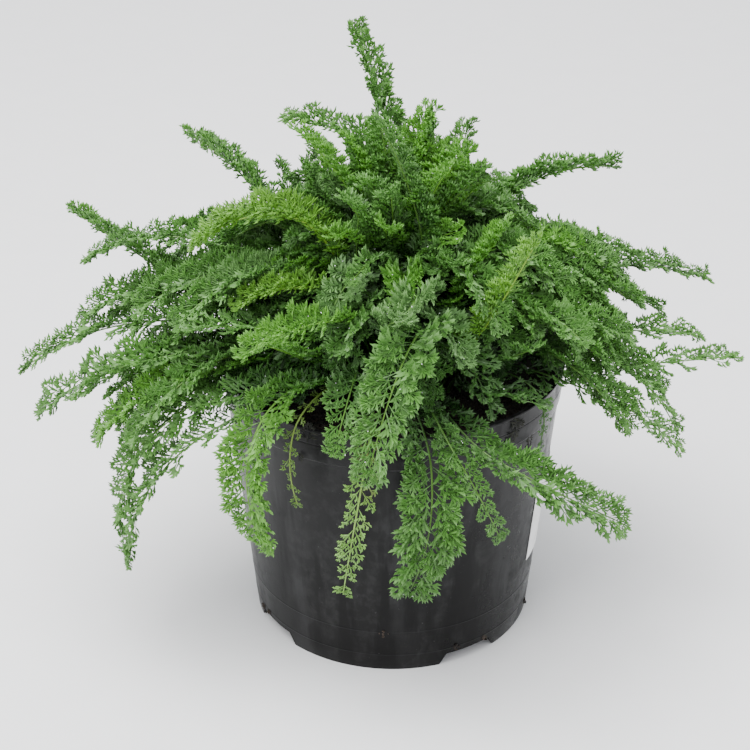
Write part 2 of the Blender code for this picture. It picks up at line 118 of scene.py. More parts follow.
# Soil and the places where the stalks stand in it.
SOIL_GAP = 0.3
SOIL_TOP = 128.0
SOIL_RINGS = 44
SOIL_LUMPS = 1.6
CRUMB_SHAPES = 5
CRUMB_COUNT = 620
CRUMB_SIZE = 2.6
CROWN_SPOTS = 57
CROWN_SPACING = 5.3
CROWN_START = 0.6
STALK_DEPTH = 10.0

# Bits of soil and of dead leaf that stick to the pot: azimuth and height, and for leaf bits turn and length.
FOOT_CRUMBS = ((-157, 6), (-151, 8), (-15, 4), (-62, 9), (-49, 7), (-93, 23))
CRUMBS_PER_SPOT = 5
DEAD_BITS = (
    (-118, 131, 175, 13),
    (-51, 139, 60, 12),
    (-47, 135, -20, 11),
    (-41, 127, 10, 10),
    (-120, 120, 190, 6),
)

# Leaf solids: how their ribs, leaflets and bends are laid out.
LEAFLET_SPACING = 7.8
FIRST_LEAFLET = 0.16
LEAFLET_SWEEP = 35.0
HIGH_LEAFLET_RISE = 20.0
LOW_LEAFLET_RISE = 5.0
SHORT_LEAFLET = 0.85
BLADE_NARROWEST = 0.2
BLADE_START = 0.08
BLADE_SPAN = 0.82
BLADE_POWER = 0.8
TIP_LEAFLET = 4.0
RIB_END = 0.985
RISE = 0.36
FEWEST_PAIRS = 6
FRAME_STEP = 0.02
SIDE_LEAF_START = 0.05
SIDE_LEAF_REACH = 0.62
SIDE_LEAF_HEIGHT = 0.7
SIDE_LEAF_WIDTH = 0.9
SIDE_LEAF_LOWEST = 146.0
SIDE_LEAF_UPRIGHT = 0.3
SIDE_STEPS = (0, 6, -6, 12, -12, 18, -18, 24, -24, 32, -32, 40, -40)
RISE_STEPS = (0, 6, -6, 12, -12, 18, -18, 26, 34)
REACH_STEPS = (0, -8, 8, -16, 16)
WIDTH_STEPS = (1, 0.85, 0.7)
CLOSE_MATCH = 0.05

# Fine leaves, in millimetres, degrees and shares of a blade's length or half width.
STALK_RADIUS = 1.0
RIB_RADIUS = 0.62
RIB_TIP_RADIUS = 0.28
RIB_SIDES = 6
RIB_STEP = 5.0
DROP_RADII = (0.15, 0.34)
PINNA_START = 0.06
PINNA_SPAN = 0.76
TIP_PINNA = 0.95
TIP_FAN = ((0, 80), (1, 62), (-1, 62))
TIP_FAN_LIFT = 0.15
PINNA_SHAPES = 6

# Pinnae and their lobes, as shares of a pinna's length. LOBE_WIDEST and SECOND_FINGER are shares of a lobe's.
LOBE_THICKNESS = 0.065
LOBE_WIDEST = 0.6
SECOND_FINGER = 0.15
MIDRIB_LENGTH = 0.8
FIRST_BRANCH = 0.16
BRANCH_SPAN = 0.58
END_FORK_PLACE = 0.7
END_FORK_LENGTH = 0.3
PINNA_DROOPS = (-0.05, 0.25)
PINNA_CUPS = (0.0, 0.25)
PINNA_CURL = 0.12

Frond = namedtuple(
    "Frond",
    "name root_reach middle tip half_width finish side_leaf roll rise",
    defaults=(0, 0, RISE),
)
Leaf = namedtuple("Leaf", "place half_width finish roll style start buried")
Style = namedtuple(
    "Style",
    "spacing reach fold fold_spread sweep twist twist_spread dew "
    "pairs branch spread finger fork fork_angle lift width",
)
Tier = namedtuple("Tier", "name finish style count azimuths reach drop half_width arch")

# Each place is (azimuth, distance from the pot's axis, height). The middle is where the frond bends over.
# side_leaf is how far round the pot a smaller leaf of the same shoot stands from it, or 0 for none.
# roll is how far the blade has turned about its rib at the tip, in degrees.
# rise is how straight up the stalk starts, as a share of the way from the root to the middle.
FROND_ROWS = (
    ("front_hanging", 34, (-80, 100, 133), (-85, 102, 71), 14, "fresh"),
    ("front_withered", 37, (-97, 97, 136), (-103, 100, 66), 8, "withered"),
    ("front_right_hanging", 36, (-66, 106, 128), (-48, 144, 92), 13, "fresh"),
    ("front_right_short", 37, (-74, 99, 136), (-66, 109, 98), 7, "fresh"),
    ("left_hanging_outer", 38, (-154, 116, 132), (-156, 142, 79), 11, "fresh"),
    ("left_hanging_long", 38, (-140, 103, 134), (-156, 140, 51), 11, "fresh"),
    ("left_hanging_broad", 36, (-126, 102, 147), (-123, 110, 90), 12, "bright"),
    ("left_hanging_thin", 37, (-121, 93, 140), (-120, 97, 108), 5, "yellowing"),
    ("right_hanging_thin", 38, (-38, 88, 142), (-42, 89, 117), 5, "fresh"),
    ("right_low_front", 36, (-26, 102, 144), (-21, 141, 120), 11, "fresh", -25),
    ("right_low", 33, (-7, 110, 137), (-4, 161, 138), 11, "fresh"),
    ("right_hooked", 30, (-13, 106, 151), (-11, 137, 120), 10, "fresh", -30),
    ("right_low_rear", 30, (7, 102, 145), (8, 149, 139), 11, "fresh", 25),
    ("right_spread", 28, (22, 89, 164), (16, 160, 160), 11, "fresh", 30),
    ("left_low", 30, (180, 118, 156), (180, 177, 133), 12, "fresh", 28),
    ("left_low_front", 32, (-162, 120, 155), (-170, 168, 126), 13, "fresh", 25),
    ("left_low_inner", 34, (-155, 105, 150), (-158, 145, 127), 12, "bright", 25),
    ("left_spear", 24, (167, 108, 166), (166, 161, 196), 10, "fresh", -30, 45),
    ("left_middle", 26, (175, 104, 184), (174, 146, 158), 11, "fresh", 30),
    ("left_upper", 18, (143, 92, 207), (140, 132, 217), 10, "fresh", 0, 55),
    ("left_small_arch", 22, (153, 93, 195), (152, 129, 171), 10, "fresh", -30, -30, 0.5),
    ("left_bright_arch", 18, (-164, 65, 221), (-170, 89, 208), 13, "yellow", 0, 0, 0.5),
    ("top_tall", 6, (82, 31, 206), (106, 62, 282), 10, "fresh", 90),
    ("top_left_rear", 8, (100, 17, 231), (148, 56, 250), 11, "fresh", 60),
    ("top_left", 6, (-160, 14, 212), (-173, 43, 256), 11, "bright", -70),
    ("top_middle", 9, (-50, 21, 207), (-109, 16, 263), 11, "fresh"),
    ("top_right", 8, (2, 18, 196), (41, 38, 248), 12, "fresh", -80),
    ("pale_upright", 16, (127, 48, 180), (124, 68, 222), 11, "underside"),
    ("right_spear", 12, (37, 59, 201), (29, 122, 213), 10, "fresh", 0, -45, 0.6),
    ("right_spear_inner", 12, (22, 30, 216), (18, 66, 222), 9, "fresh", 50, 0, 0.6),
    ("right_long_arch", 14, (2, 51, 196), (5, 105, 175), 12, "bright", 0, 0, 0.6),
    ("middle_yellow_rib", 20, (-50, 64, 178), (-36, 77, 217), 12, "yellow"),
    ("middle_bright", 14, (-47, 44, 184), (-22, 54, 215), 12, "bright"),
    ("middle_curled", 10, (-60, 30, 198), (-62, 51, 200), 11, "bright", 60),
    ("middle_pale", 20, (-75, 50, 194), (-86, 80, 202), 12, "underside"),
    ("front_broad", 24, (-80, 68, 190), (-93, 104, 154), 14, "fresh", 40),
    ("front_left_bright", 22, (-99, 62, 186), (-109, 98, 186), 12, "bright", -30),
    ("front_left_lobed", 30, (-104, 76, 162), (-104, 102, 148), 10, "fresh"),
    ("middle_left_curled", 22, (-106, 48, 184), (-104, 70, 210), 10, "underside"),
    ("left_small_bright", 22, (-148, 56, 192), (-158, 82, 188), 11, "yellow"),
    ("left_star", 30, (-134, 66, 170), (-130, 96, 176), 11, "fresh", 30),
    ("left_grey", 20, (-157, 32, 198), (-152, 60, 208), 12, "underside", 0, 0, 0.6),
    ("right_inner", 24, (-25, 70, 170), (-18, 112, 156), 12, "fresh", -35),
    ("right_inner_rear", 22, (10, 76, 178), (8, 118, 172), 11, "fresh", 40),
    ("front_right_low", 31, (-20, 77, 163), (-30, 112, 150), 10, "fresh", 0, 0, 0.6),
    ("rear_right_spread", 28, (42, 88, 168), (44, 146, 150), 12, "fresh", 30),
    ("rear_spread", 30, (70, 86, 164), (72, 142, 136), 12, "fresh", 30),
    ("rear_left_spread", 30, (100, 86, 164), (98, 142, 140), 12, "bright", -30),
    ("rear_left_low", 30, (130, 88, 162), (128, 146, 134), 12, "fresh", 25),
    ("rear_right_hanging", 38, (54, 98, 146), (58, 122, 78), 11, "fresh"),
    ("rear_hanging", 38, (84, 96, 146), (86, 116, 72), 12, "fresh"),
    ("rear_left_hanging", 38, (116, 96, 146), (114, 120, 84), 11, "yellow"),
    ("rear_right_upper", 16, (58, 62, 190), (54, 106, 190), 12, "fresh", 30),
    ("rear_upper", 16, (84, 60, 188), (82, 104, 180), 12, "bright"),
    ("rear_left_upper", 18, (114, 66, 190), (114, 108, 194), 12, "fresh", -30),
)
FRONDS = [Frond(*row) for row in FROND_ROWS]

# How pinnae stand along a rib, from spacing to twist_spread, how many carry a drop of water, and how each
# one is cut, from pairs to width. reach is a pinna's length as a share of the blade's half width. branch,
# width and finger are shares too: of the pinna, of the pinna and of its branch. fork is where on its branch
# the first finger starts. Each other style says how it differs from the full or the tufted one.
FULL = Style(
    spacing=4.3, reach=1.45, fold=32, fold_spread=16, sweep=36, twist=34, twist_spread=16, dew=0.12,
    pairs=3, branch=0.36, spread=40, finger=0.74, fork=0.22, fork_angle=30, lift=20, width=0.070,
)
TUFTED = FULL._replace(
    spacing=4.4, reach=1.5, fold=28, fold_spread=20, sweep=40, twist=30, twist_spread=26, dew=0.25,
    branch=0.40, spread=38, finger=0.76, fork=0.20, fork_angle=28, lift=28, width=0.080,
)
STYLES = {
    "sparse": FULL._replace(
        spacing=7.4, fold=12, sweep=52, twist=15, twist_spread=30, dew=0,
        pairs=2, spread=42, finger=0.60, fork=0.36, fork_angle=34, width=0.085,
    ),
    "open": FULL._replace(
        spacing=5.8, reach=1.4, fold=22, fold_spread=24, sweep=34, twist=20, twist_spread=30, dew=0.08,
        branch=0.40, spread=46, finger=0.66, fork=0.30, fork_angle=34, lift=24, width=0.096,
    ),
    "full": FULL,
    "dense": FULL._replace(
        spacing=3.4, reach=1.42, fold=22, fold_spread=20, sweep=34, twist=22, twist_spread=26, dew=0.15,
        spread=42, fork=0.24, fork_angle=32, lift=26, width=0.074,
    ),
    "tufted": TUFTED,
    "brush": TUFTED._replace(
        spacing=3.2, reach=1.6, fold=40, fold_spread=36, sweep=42, twist_spread=30, dew=0.3, width=0.082,
    ),
    "plume": FULL._replace(
        spacing=2.5, reach=1.25, fold=36, twist=58, twist_spread=12,
        pairs=2, branch=0.42, spread=32, finger=0.76, fork=0.20, fork_angle=27, lift=16, width=0.072,
    ),
}

# Fronds with a style of their own. The others are open, full or plume, by how high their tips stand.
FROND_STYLES = {
    "sparse": ("front_withered", "left_hanging_thin", "right_hanging_thin"),
    "open": ("left_small_arch", "left_star", "front_left_lobed"),
    "full": ("left_low_inner", "left_low"),
    "dense": ("front_hanging", "front_right_hanging", "left_hanging_broad"),
    "tufted": ("top_left_rear", "pale_upright"),
    "brush": ("top_tall", "right_spear", "left_spear", "left_upper"),
    "plume": ("front_left_bright", "left_small_bright"),
}
OPEN_BELOW = 150
FULL_BELOW = 190

# Leaves that fill the mound between the fronds: where round the pot they stand, the reach of their tips from
# its axis, how far their tips stay below the top of the mound, and 0 for upright ones or 1 for arching ones.
TIERS = (
    Tier("inner_leaves_front_low", "fresh", "open", 8, (-175, -5), (58, 90), (48, 70), 12, 1.0),
    Tier("inner_leaves_front", "fresh", "full", 9, (-175, -5), (36, 78), (34, 54), 12, 0.6),
    Tier("inner_leaves_front_bright", "bright", "plume", 5, (-165, -15), (30, 62), (24, 42), 11, 0.4),
    Tier("inner_leaves_front_right", "fresh", "full", 6, (-48, -8), (72, 110), (16, 36), 12, 0.8),
    Tier("inner_leaves_rear_low", "fresh", "open", 8, (5, 175), (70, 108), (24, 44), 12, 1.0),
    Tier("inner_leaves_rear", "fresh", "full", 9, (5, 175), (46, 92), (8, 28), 12, 0.7),
    Tier("inner_leaves_right", "fresh", "full", 8, (-24, 44), (66, 112), (6, 28), 12, 0.8),
    Tier("inner_leaves_left", "fresh", "full", 8, (138, 204), (70, 118), (6, 28), 12, 0.8),
    Tier("outer_leaves_right", "fresh", "full", 5, (-14, 22), (106, 142), (0, 20), 11, 0.8),
    Tier("outer_leaves_left", "fresh", "full", 7, (160, 192), (108, 148), (-6, 14), 12, 0.8),
    Tier("low_leaves_right", "fresh", "full", 6, (-26, 8), (104, 142), (22, 46), 11, 1.0),
    Tier("low_leaves_left", "fresh", "full", 8, (-178, -148), (104, 150), (18, 44), 11, 1.0),
    Tier("inner_leaves_pale", "underside", "full", 5, (0, 360), (40, 80), (18, 38), 11, 0.6),
    Tier("inner_leaves_upright", "fresh", "plume", 16, (0, 360), (10, 46), (10, 44), 12, 0.0),
    Tier("inner_leaves_bright_upright", "bright", "plume", 8, (-20, 200), (14, 46), (6, 34), 12, 0.0),
    Tier("inner_leaves_top_right", "bright", "plume", 6, (-50, 70), (16, 42), (2, 24), 13, 0.0),
)
MOUND_REACHES = (0, 30, 62, 100, 150)
MOUND_HEIGHTS = (270, 260, 220, 192, 152)
GOLDEN_SHARE = (3 - sqrt(5)) / 2
INNER_LEAF_START = 0.28
UPRIGHT_BEND = 0.42
UPRIGHT_MIDDLE = 0.66
ARCHING_BEND = 0.6
ARCH_RISE = 20.0
INNER_ROOT_REACHES = (4, 30)
ROOT_SCATTER = 40
TIP_SCATTER = 8
INNER_ROLL = 30

# Leaf finishes. Shaded and Lit are the painted-shade and painted-light tints of each colour.
LEAF_TINTS = ("Shaded", "Lit", "Underside", "Rib")
LEAF_COLOURS = {
    "fresh": ((0.007, 0.040, 0.003), (0.070, 0.225, 0.018), (0.090, 0.215, 0.045), (0.085, 0.200, 0.018)),
    "bright": ((0.014, 0.080, 0.003), (0.100, 0.320, 0.014), (0.110, 0.265, 0.040), (0.130, 0.310, 0.022)),
    "yellow": ((0.024, 0.105, 0.003), (0.130, 0.340, 0.016), (0.125, 0.270, 0.040), (0.210, 0.370, 0.026)),
    "underside": ((0.018, 0.070, 0.012), (0.100, 0.240, 0.050), (0.130, 0.260, 0.080), (0.130, 0.270, 0.050)),
    "yellowing": ((0.045, 0.110, 0.008), (0.140, 0.290, 0.030), (0.150, 0.260, 0.050), (0.220, 0.330, 0.035)),
    "withered": ((0.050, 0.150, 0.010), (0.170, 0.370, 0.055), (0.170, 0.320, 0.070), (0.200, 0.350, 0.060)),
}
# Pale hairy lobe ends: partly the hairs' own colour, partly a painted sheen.
HAIRY_SHEEN_TIP = (0.240, 0.420, 0.170)
STALK_BROWN = (0.160, 0.090, 0.030)
DECAY_BROWN = (0.110, 0.055, 0.018)
DECAY_SHARES = {"withered": 0.8, "yellowing": 0.5}

# Leaves deep in the mound are painted darker: painted shade. In metres: the heights on the pot's axis between
# which the painted shade fades, and the distances from the axis between which it ends. The slope is how
# steeply the mound falls away.
MOUND_SHADE_HEIGHTS = (0.20, 0.25)
MOUND_SLOPE = 0.78
MOUND_SHADE_REACHES = (0.08, 0.11)


# Shader helpers


def fill(tree, node, inputs):
    """Links or sets a node's inputs."""
    for name, value in inputs.items():
        if isinstance(value, bpy.types.NodeSocket):
            tree.links.new(value, node.inputs[name])
        else:
            node.inputs[name].default_value = value


def add(tree, kind, inputs=None, **settings):
    """A shader node with its settings and inputs."""
    node = tree.nodes.new("ShaderNode" + kind)
    for name, value in settings.items():
        setattr(node, name, value)
    fill(tree, node, inputs or {})
    return node


def mix(tree, share, first, second):
    """Two colours mixed. Each is a socket, or its red, green and blue."""
    first, second = ((*colour, 1.0) if isinstance(colour, tuple) else colour for colour in (first, second))
    return add(tree, "Mix", {0: share, 6: first, 7: second}, data_type="RGBA").outputs[2]


def layered(tree, colour, layers):
    """A colour under layers of mask, share and tint."""
    for mask, share, tint in layers:
        colour = mix(tree, scaled(tree, mask, share), colour, tint)
    return colour


def maths(tree, operation, first, second=0.0, clamp=False):
    return add(tree, "Math", {0: first, 1: second}, operation=operation, use_clamp=clamp).outputs[0]


def scaled(tree, value, factor):
    return maths(tree, "MULTIPLY", value, factor)


def ramp(tree, value, low, high, out_low=0.0, out_high=1.0):
    limits = {"Value": value, "From Min": low, "From Max": high, "To Min": out_low, "To Max": out_high}
    return add(tree, "MapRange", limits, clamp=True).outputs["Result"]


def reading(tree, name):
    return add(tree, "Attribute", attribute_name=name).outputs["Fac"]


def object_place(tree):
    return add(tree, "TexCoord").outputs["Object"]


def shader_group(name, inputs, outputs):
    """A node group with named sockets, and its input and output nodes. A tuple makes a socket a colour."""
    tree = bpy.data.node_groups.new(name, "ShaderNodeTree")
    for way, sockets in (("INPUT", inputs), ("OUTPUT", outputs)):
        for title, value in sockets.items():
            kind = "NodeSocketColor" if isinstance(value, tuple) else "NodeSocketFloat"
            tree.interface.new_socket(name=title, in_out=way, socket_type=kind).default_value = value
    return tree, tree.nodes.new("NodeGroupInput").outputs, tree.nodes.new("NodeGroupOutput").inputs


def placed_group(tree, group, inputs):
    node = tree.nodes.new("ShaderNodeGroup")
    node.node_tree = group
    fill(tree, node, inputs)
    return node.outputs


def patches(tree, scale, low, high, stretch=1.0):
    """A soft mask of patches. They are long in height where stretch is small."""
    sizes = {"Scale": scale, "Height Stretch": stretch, "Low": low, "High": high}
    return placed_group(tree, PATCHES, sizes)["Mask"]


def grain(tree, scale):
    return placed_group(tree, GRAIN, {"Scale": scale})["Value"]


def patches_group():
    """A soft mask of patches, stretched along the height where asked."""
    sizes = {"Scale": 20.0, "Height Stretch": 1.0, "Low": 0.5, "High": 0.6}
    tree, given, made = shader_group("Patches", sizes, {"Mask": 0.0})
    stretch = add(tree, "CombineXYZ", {"X": 1.0, "Y": 1.0, "Z": given["Height Stretch"]}).outputs[0]
    place = add(tree, "VectorMath", {0: object_place(tree), 1: stretch}, operation="MULTIPLY").outputs[0]
    inputs = {"Vector": place, "Scale": given["Scale"], "Detail": 5.0, "Roughness": 0.6}
    texture = add(tree, "TexNoise", inputs)
    tree.links.new(ramp(tree, texture.outputs["Fac"], given["Low"], given["High"]), made["Mask"])
    return tree


def grain_group():
    """Fine unevenness, as a value round a half."""
    tree, given, made = shader_group("Grain", {"Scale": 500.0}, {"Value": 0.0})
    texture = add(tree, "TexNoise", {"Vector": object_place(tree), "Scale": given["Scale"], "Detail": 3.0})
    tree.links.new(texture.outputs["Fac"], made["Value"])
    return tree


def depth_in_mound(tree):
    """A mask for painted shade, 1 deep in the mound and 0 at its surface."""
    place = add(tree, "SeparateXYZ", {0: object_place(tree)}).outputs
    level = add(tree, "CombineXYZ", {"X": place["X"], "Y": place["Y"], "Z": 0.0}).outputs[0]
    reach = add(tree, "VectorMath", {0: level}, operation="LENGTH").outputs["Value"]
    height = maths(tree, "ADD", place["Z"], scaled(tree, reach, MOUND_SLOPE))
    low = ramp(tree, height, *MOUND_SHADE_HEIGHTS, 1.0, 0.0)
    return scaled(tree, low, ramp(tree, reach, *MOUND_SHADE_REACHES, 1.0, 0.0))


def leaf_group():
    """Leaf tissue: painted light and shade as a mix of shaded and lit tints, pale hairy ends that are partly
    painted sheen, a pale underside, yellow ribs, brown decay and painted shade deep in the mound.
    """
    black = (0, 0, 0, 1)
    inputs = {**dict.fromkeys(LEAF_TINTS, black), "Decay": 0.0}
    outputs = {"Color": black, "Roughness": 0.0, "Height": 0.0}
    tree, given, made = shader_group("Leaf tissue", inputs, outputs)
    fine = grain(tree, 900)
    broad = grain(tree, 45)
    lobe = reading(tree, "lobe")
    growth = reading(tree, "growth")
    rib = reading(tree, "rib")
    # Painted light and shade: the lit share is higher towards the lobe ends and the leaf's tip and lower near
    # the stalk; tone and grain vary it at random.
    lit = maths(tree, "ADD", scaled(tree, lobe, 0.55), scaled(tree, reading(tree, "tone"), 0.45))
    lit = maths(tree, "ADD", lit, ramp(tree, fine, 0.3, 0.7, -0.25, 0.25))
    lit = maths(tree, "ADD", lit, ramp(tree, broad, 0.35, 0.65, -0.25, 0.2))
    lit = maths(tree, "ADD", lit, ramp(tree, growth, 0.1, 1.0, -0.15, 0.25), clamp=True)
    colour = mix(tree, lit, given["Shaded"], given["Lit"])
    # Pale hairy ends, partly painted sheen: strongest at the lobe ends and towards the leaf's tip.
    hairs_and_sheen = scaled(tree, ramp(tree, lobe, 0.75, 1.0), ramp(tree, fine, 0.4, 0.65))
    hairs_and_sheen = scaled(tree, hairs_and_sheen, ramp(tree, growth, 0.5, 1.0, 0.4, 0.75))
    stalk = scaled(tree, rib, ramp(tree, growth, 0.0, 0.12, 1.0, 0.0))
    decay = scaled(tree, patches(tree, 90, 0.48, 0.58), given["Decay"])
    decay = scaled(tree, decay, ramp(tree, growth, 0.4, 0.7, 1.0, 0.05))
    layers = (
        (hairs_and_sheen, 1.0, HAIRY_SHEEN_TIP),
        (reading(tree, "underside"), 0.45, given["Underside"]),
        (rib, 0.85, given["Rib"]),
        (stalk, 0.5, STALK_BROWN),
        (decay, 1.0, DECAY_BROWN),
        # Painted shade: leaves deep in the mound take the shaded tint.
        (depth_in_mound(tree), 0.9, given["Shaded"]),
    )
    colour = layered(tree, colour, layers)
    tree.links.new(colour, made["Color"])
    tree.links.new(ramp(tree, fine, 0.3, 0.7, 0.42, 0.68), made["Roughness"])
    tree.links.new(fine, made["Height"])
    return tree


PATCHES = patches_group()
GRAIN = grain_group()
LEAF_TISSUE = leaf_group()


def shaded(name, build, bump=0.3, bump_distance=0.0002, **constants):
    """A material. build gives colour, roughness and height sockets for its node tree."""
    material = bpy.data.materials.new(name)
    material.use_nodes = True
    tree = material.node_tree
    shader = tree.nodes["Principled BSDF"]
    colour, roughness, height = build(tree)
    tree.links.new(colour, shader.inputs["Base Color"])
    tree.links.new(roughness, shader.inputs["Roughness"])
    raised = add(tree, "Bump", {"Height": height, "Strength": bump, "Distance": bump_distance})
    tree.links.new(raised.outputs["Normal"], shader.inputs["Normal"])
    for title, value in constants.items():
        shader.inputs[title.replace("_", " ")].default_value = value
    return material


def leaf_finish(name):
    tints = {title: (*tint, 1.0) for title, tint in zip(LEAF_TINTS, LEAF_COLOURS[name])}
    decay = DECAY_SHARES.get(name, 0.0)

    def build(tree):
        tissue = placed_group(tree, LEAF_TISSUE, {**tints, "Decay": decay})
        return tissue["Color"], tissue["Roughness"], tissue["Height"]

    return shaded(name + "_leaf_tissue", build)


def plastic_finish():
    """Charcoal plastic with dark scuffs down the wall, damp blotches, dust and specks."""

    def build(tree):
        dust = patches(tree, 160, 0.45, 0.75)
        place = add(tree, "SeparateXYZ", {0: object_place(tree)}).outputs
        right = ramp(tree, place["X"], -0.03, 0.04, 0.45, 1.0)
        damp = scaled(tree, patches(tree, 48, 0.5, 0.54, stretch=0.6), right)
        colour = mix(tree, dust, (0.006, 0.006, 0.006), (0.022, 0.022, 0.022))
        wiped = patches(tree, 30, 0.5, 0.66, stretch=0.16)
        scuffs = patches(tree, 95, 0.5, 0.6, stretch=0.09)
        foot = ramp(tree, place["Z"], 0.05, 0.0, 0.0, 1.0)
        specks = patches(tree, 700, 0.71, 0.75)
        layers = (
            (wiped, 0.8, (0.034, 0.034, 0.035)),
            (scuffs, 0.85, (0.001, 0.001, 0.001)),
            (damp, 0.7, (0.003, 0.003, 0.003)),
            (foot, 0.35, (0.007, 0.006, 0.006)),
            (specks, 0.6, (0.20, 0.20, 0.20)),
        )
        colour = layered(tree, colour, layers)
        roughness = ramp(tree, dust, 0.0, 1.0, 0.36, 0.52)
        roughness = maths(tree, "SUBTRACT", roughness, scaled(tree, damp, 0.1))
        return colour, roughness, grain(tree, 1600)

    return shaded("charcoal_plastic_wall", build, bump=0.25, bump_distance=0.0001, Specular_IOR_Level=0.13)


def label_finish():
    def build(tree):
        dirt = scaled(tree, patches(tree, 70, 0.52, 0.7), 0.25)
        fine = grain(tree, 1200)
        colour = mix(tree, dirt, (0.82, 0.82, 0.81), (0.48, 0.45, 0.40))
        return colour, ramp(tree, fine, 0.3, 0.7, 0.5, 0.7), fine

    return shaded("label_paper_face", build, bump=0.2, bump_distance=0.0001)


def soil_finish():
    def build(tree):
        clods = patches(tree, 160, 0.35, 0.7)
        fibres = scaled(tree, patches(tree, 420, 0.62, 0.7), 0.6)
        fine = grain(tree, 700)
        colour = mix(tree, clods, (0.008, 0.006, 0.004), (0.034, 0.022, 0.014))
        colour = mix(tree, fibres, colour, (0.12, 0.070, 0.04))
        return colour, ramp(tree, fine, 0.3, 0.7, 0.7, 0.95), fine

    return shaded("potting_soil_crumb", build, bump=0.9, bump_distance=0.001)


def dead_leaf_finish():
    def build(tree):
        fine = grain(tree, 800)
        colour = mix(tree, patches(tree, 200, 0.4, 0.65), (0.002, 0.003, 0.002), (0.016, 0.017, 0.009))
        return colour, ramp(tree, fine, 0.3, 0.7, 0.35, 0.6), fine

    return shaded("dead_leaf_skin", build, bump=0.4, bump_distance=0.0003, Specular_IOR_Level=0.15)


def dew_glint_finish():
    def build(tree):
        fine = grain(tree, 300)
        # Painted glint: the drops are coloured near-white, where clear water would show only its highlights.
        colour = mix(tree, fine, (0.88, 0.91, 0.90), (0.97, 0.98, 0.98))
        return colour, ramp(tree, fine, 0.3, 0.7, 0.04, 0.10), fine

    return shaded("dew", build, bump=0.0, IOR=1.33, Transmission_Weight=0.3)


# Making pieces


def mesh_of(name, shape):
    """A bmesh as a mesh. The bmesh is used up."""
    mesh = bpy.data.meshes.new(name)
    shape.to_mesh(mesh)
    shape.free()
    return mesh


def placed_object(name, data):
    item = bpy.data.objects.new(name, data)
    bpy.context.scene.collection.objects.link(item)
    return item


def smoothed(mesh):
    """Smooth shading, with edges sharper than an angle left sharp."""
    mesh.shade_smooth()
    mesh.set_sharp_from_angle(angle=radians(SHARP_ANGLE))


def piece_from(name, shape, material, nodes=(), smooth=True):
    """A finished piece from a bmesh in millimetres. It rides on the pot and may replace solids."""
    bmesh.ops.scale(shape, vec=(MM, MM, MM), verts=shape.verts)
    mesh = mesh_of(name, shape)
    if smooth:
        smoothed(mesh)
    mesh.materials.append(material)
    piece = placed_object(name, mesh)
    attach(piece, "root")
    if nodes:
        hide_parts(*nodes)
    return piece


def around(azimuth, reach, height):
    angle = radians(azimuth)
    return Vector((reach * cos(angle), reach * sin(angle), height))


def wobble(chance, most):
    """A random number up to most, either way."""
    return chance.uniform(-most, most)


def face_outwards(shape):
    bmesh.ops.recalc_face_normals(shape, faces=shape.faces)


def extruded(shape, face):
    """Extrudes a face, and returns the new one."""
    geometry = bmesh.ops.extrude_face_region(shape, geom=[face])["geom"]
    return next(item for item in geometry if isinstance(item, bmesh.types.BMFace))


def wall_radius(height):
    """Outer radius of the tapered wall below the band."""
    return FOOT_RADIUS + (WALL_TOP_RADIUS - FOOT_RADIUS) * height / BAND_BOTTOM


def inner_radius(height):
    return wall_radius(height) - WALL


# Where each leaf lies


def crown_spots():
    """Places for the stalks, evenly spread like seeds in a flower head."""
    golden = 360 * GOLDEN_SHARE
    reaches = [CROWN_SPACING * sqrt(index + CROWN_START) for index in range(CROWN_SPOTS)]
    return [around(index * golden, reach, SOIL_TOP) for index, reach in enumerate(reaches)]


def roots_of(fronds):
    """Each frond takes the free spot nearest the place that it would like to leave the soil from."""
    free = crown_spots()
    roots = []
    for frond in fronds:
        wanted = around(frond.middle[0], frond.root_reach, SOIL_TOP)
        spot = min(free, key=lambda place: (place - wanted).length)
        free.remove(spot)
        roots.append(spot)
    return roots


def rib_path(root, middle, tip, rise, upright):
    """Two curves that join smoothly at the middle: one up from the root, and one on to the tip."""
    first = (middle - root).length
    second = (tip - middle).length
    split = first / (first + second)
    heading = ((middle - root) / first * second + (tip - middle) / second * first).normalized()
    lower = root + rise * (upright * Vector((0, 0, first)) + (1 - upright) * (middle - root))
    upper = middle - heading * first / 3
    further = middle + heading * second / 2

    def place(part):
        if part < split:
            done = part / split
            rest = 1 - done
            return rest**3 * root + 3 * rest**2 * done * lower + 3 * rest * done**2 * upper + done**3 * middle
        done = (part - split) / (1 - split)
        rest = 1 - done
        return rest**2 * middle + 2 * rest * done * further + done**2 * tip

    return place


def bent(frond, root, bend, upright):
    """The frond's path with its tip moved sideways, up and outwards by bend, and its middle half as far."""
    middle = around(*frond.middle)
    tip = around(*frond.tip)
    sideways, rise, outwards = bend
    heading = (tip - root) * Vector((1, 1, 0))
    heading.normalize()
    across = Vector((-heading.y, heading.x, 0))
    shift = across * sideways + Vector((0, 0, rise)) + heading * outwards
    return rib_path(root, middle + shift / 2, tip + shift, frond.rise, upright)


def path_length(place, steps=24):
    points = [place(index / steps) for index in range(steps + 1)]
    return sum((after - before).length for before, after in zip(points, points[1:]))


def blade_frame(place, part, roll):
    """The rib's direction, the direction across the blade and the way that the blade's upper face looks."""
    along = (place(min(part + FRAME_STEP, 1)) - place(max(part - FRAME_STEP, 0))).normalized()
    chord = place(1) - place(0)
    level = Vector((-chord.y, chord.x, 0)).normalized()
    across = (level - along * level.dot(along)).normalized()
    across.rotate(Matrix.Rotation(radians(roll) * part, 3, along))
    return along, across, along.cross(across)


def swell(place):
    """A blade's width as a share of its greatest: narrow at 0 and 1, and widest halfway."""
    return BLADE_NARROWEST + (1 - BLADE_NARROWEST) * sin(pi * place) ** BLADE_POWER


def leaflet_reach(part, half_width):
    """Leaflets are short near the stalk, longest past the middle and short again at the tip."""
    leafy = (part - FIRST_LEAFLET) / (1 - FIRST_LEAFLET)
    return half_width * swell(BLADE_START + BLADE_SPAN * leafy)


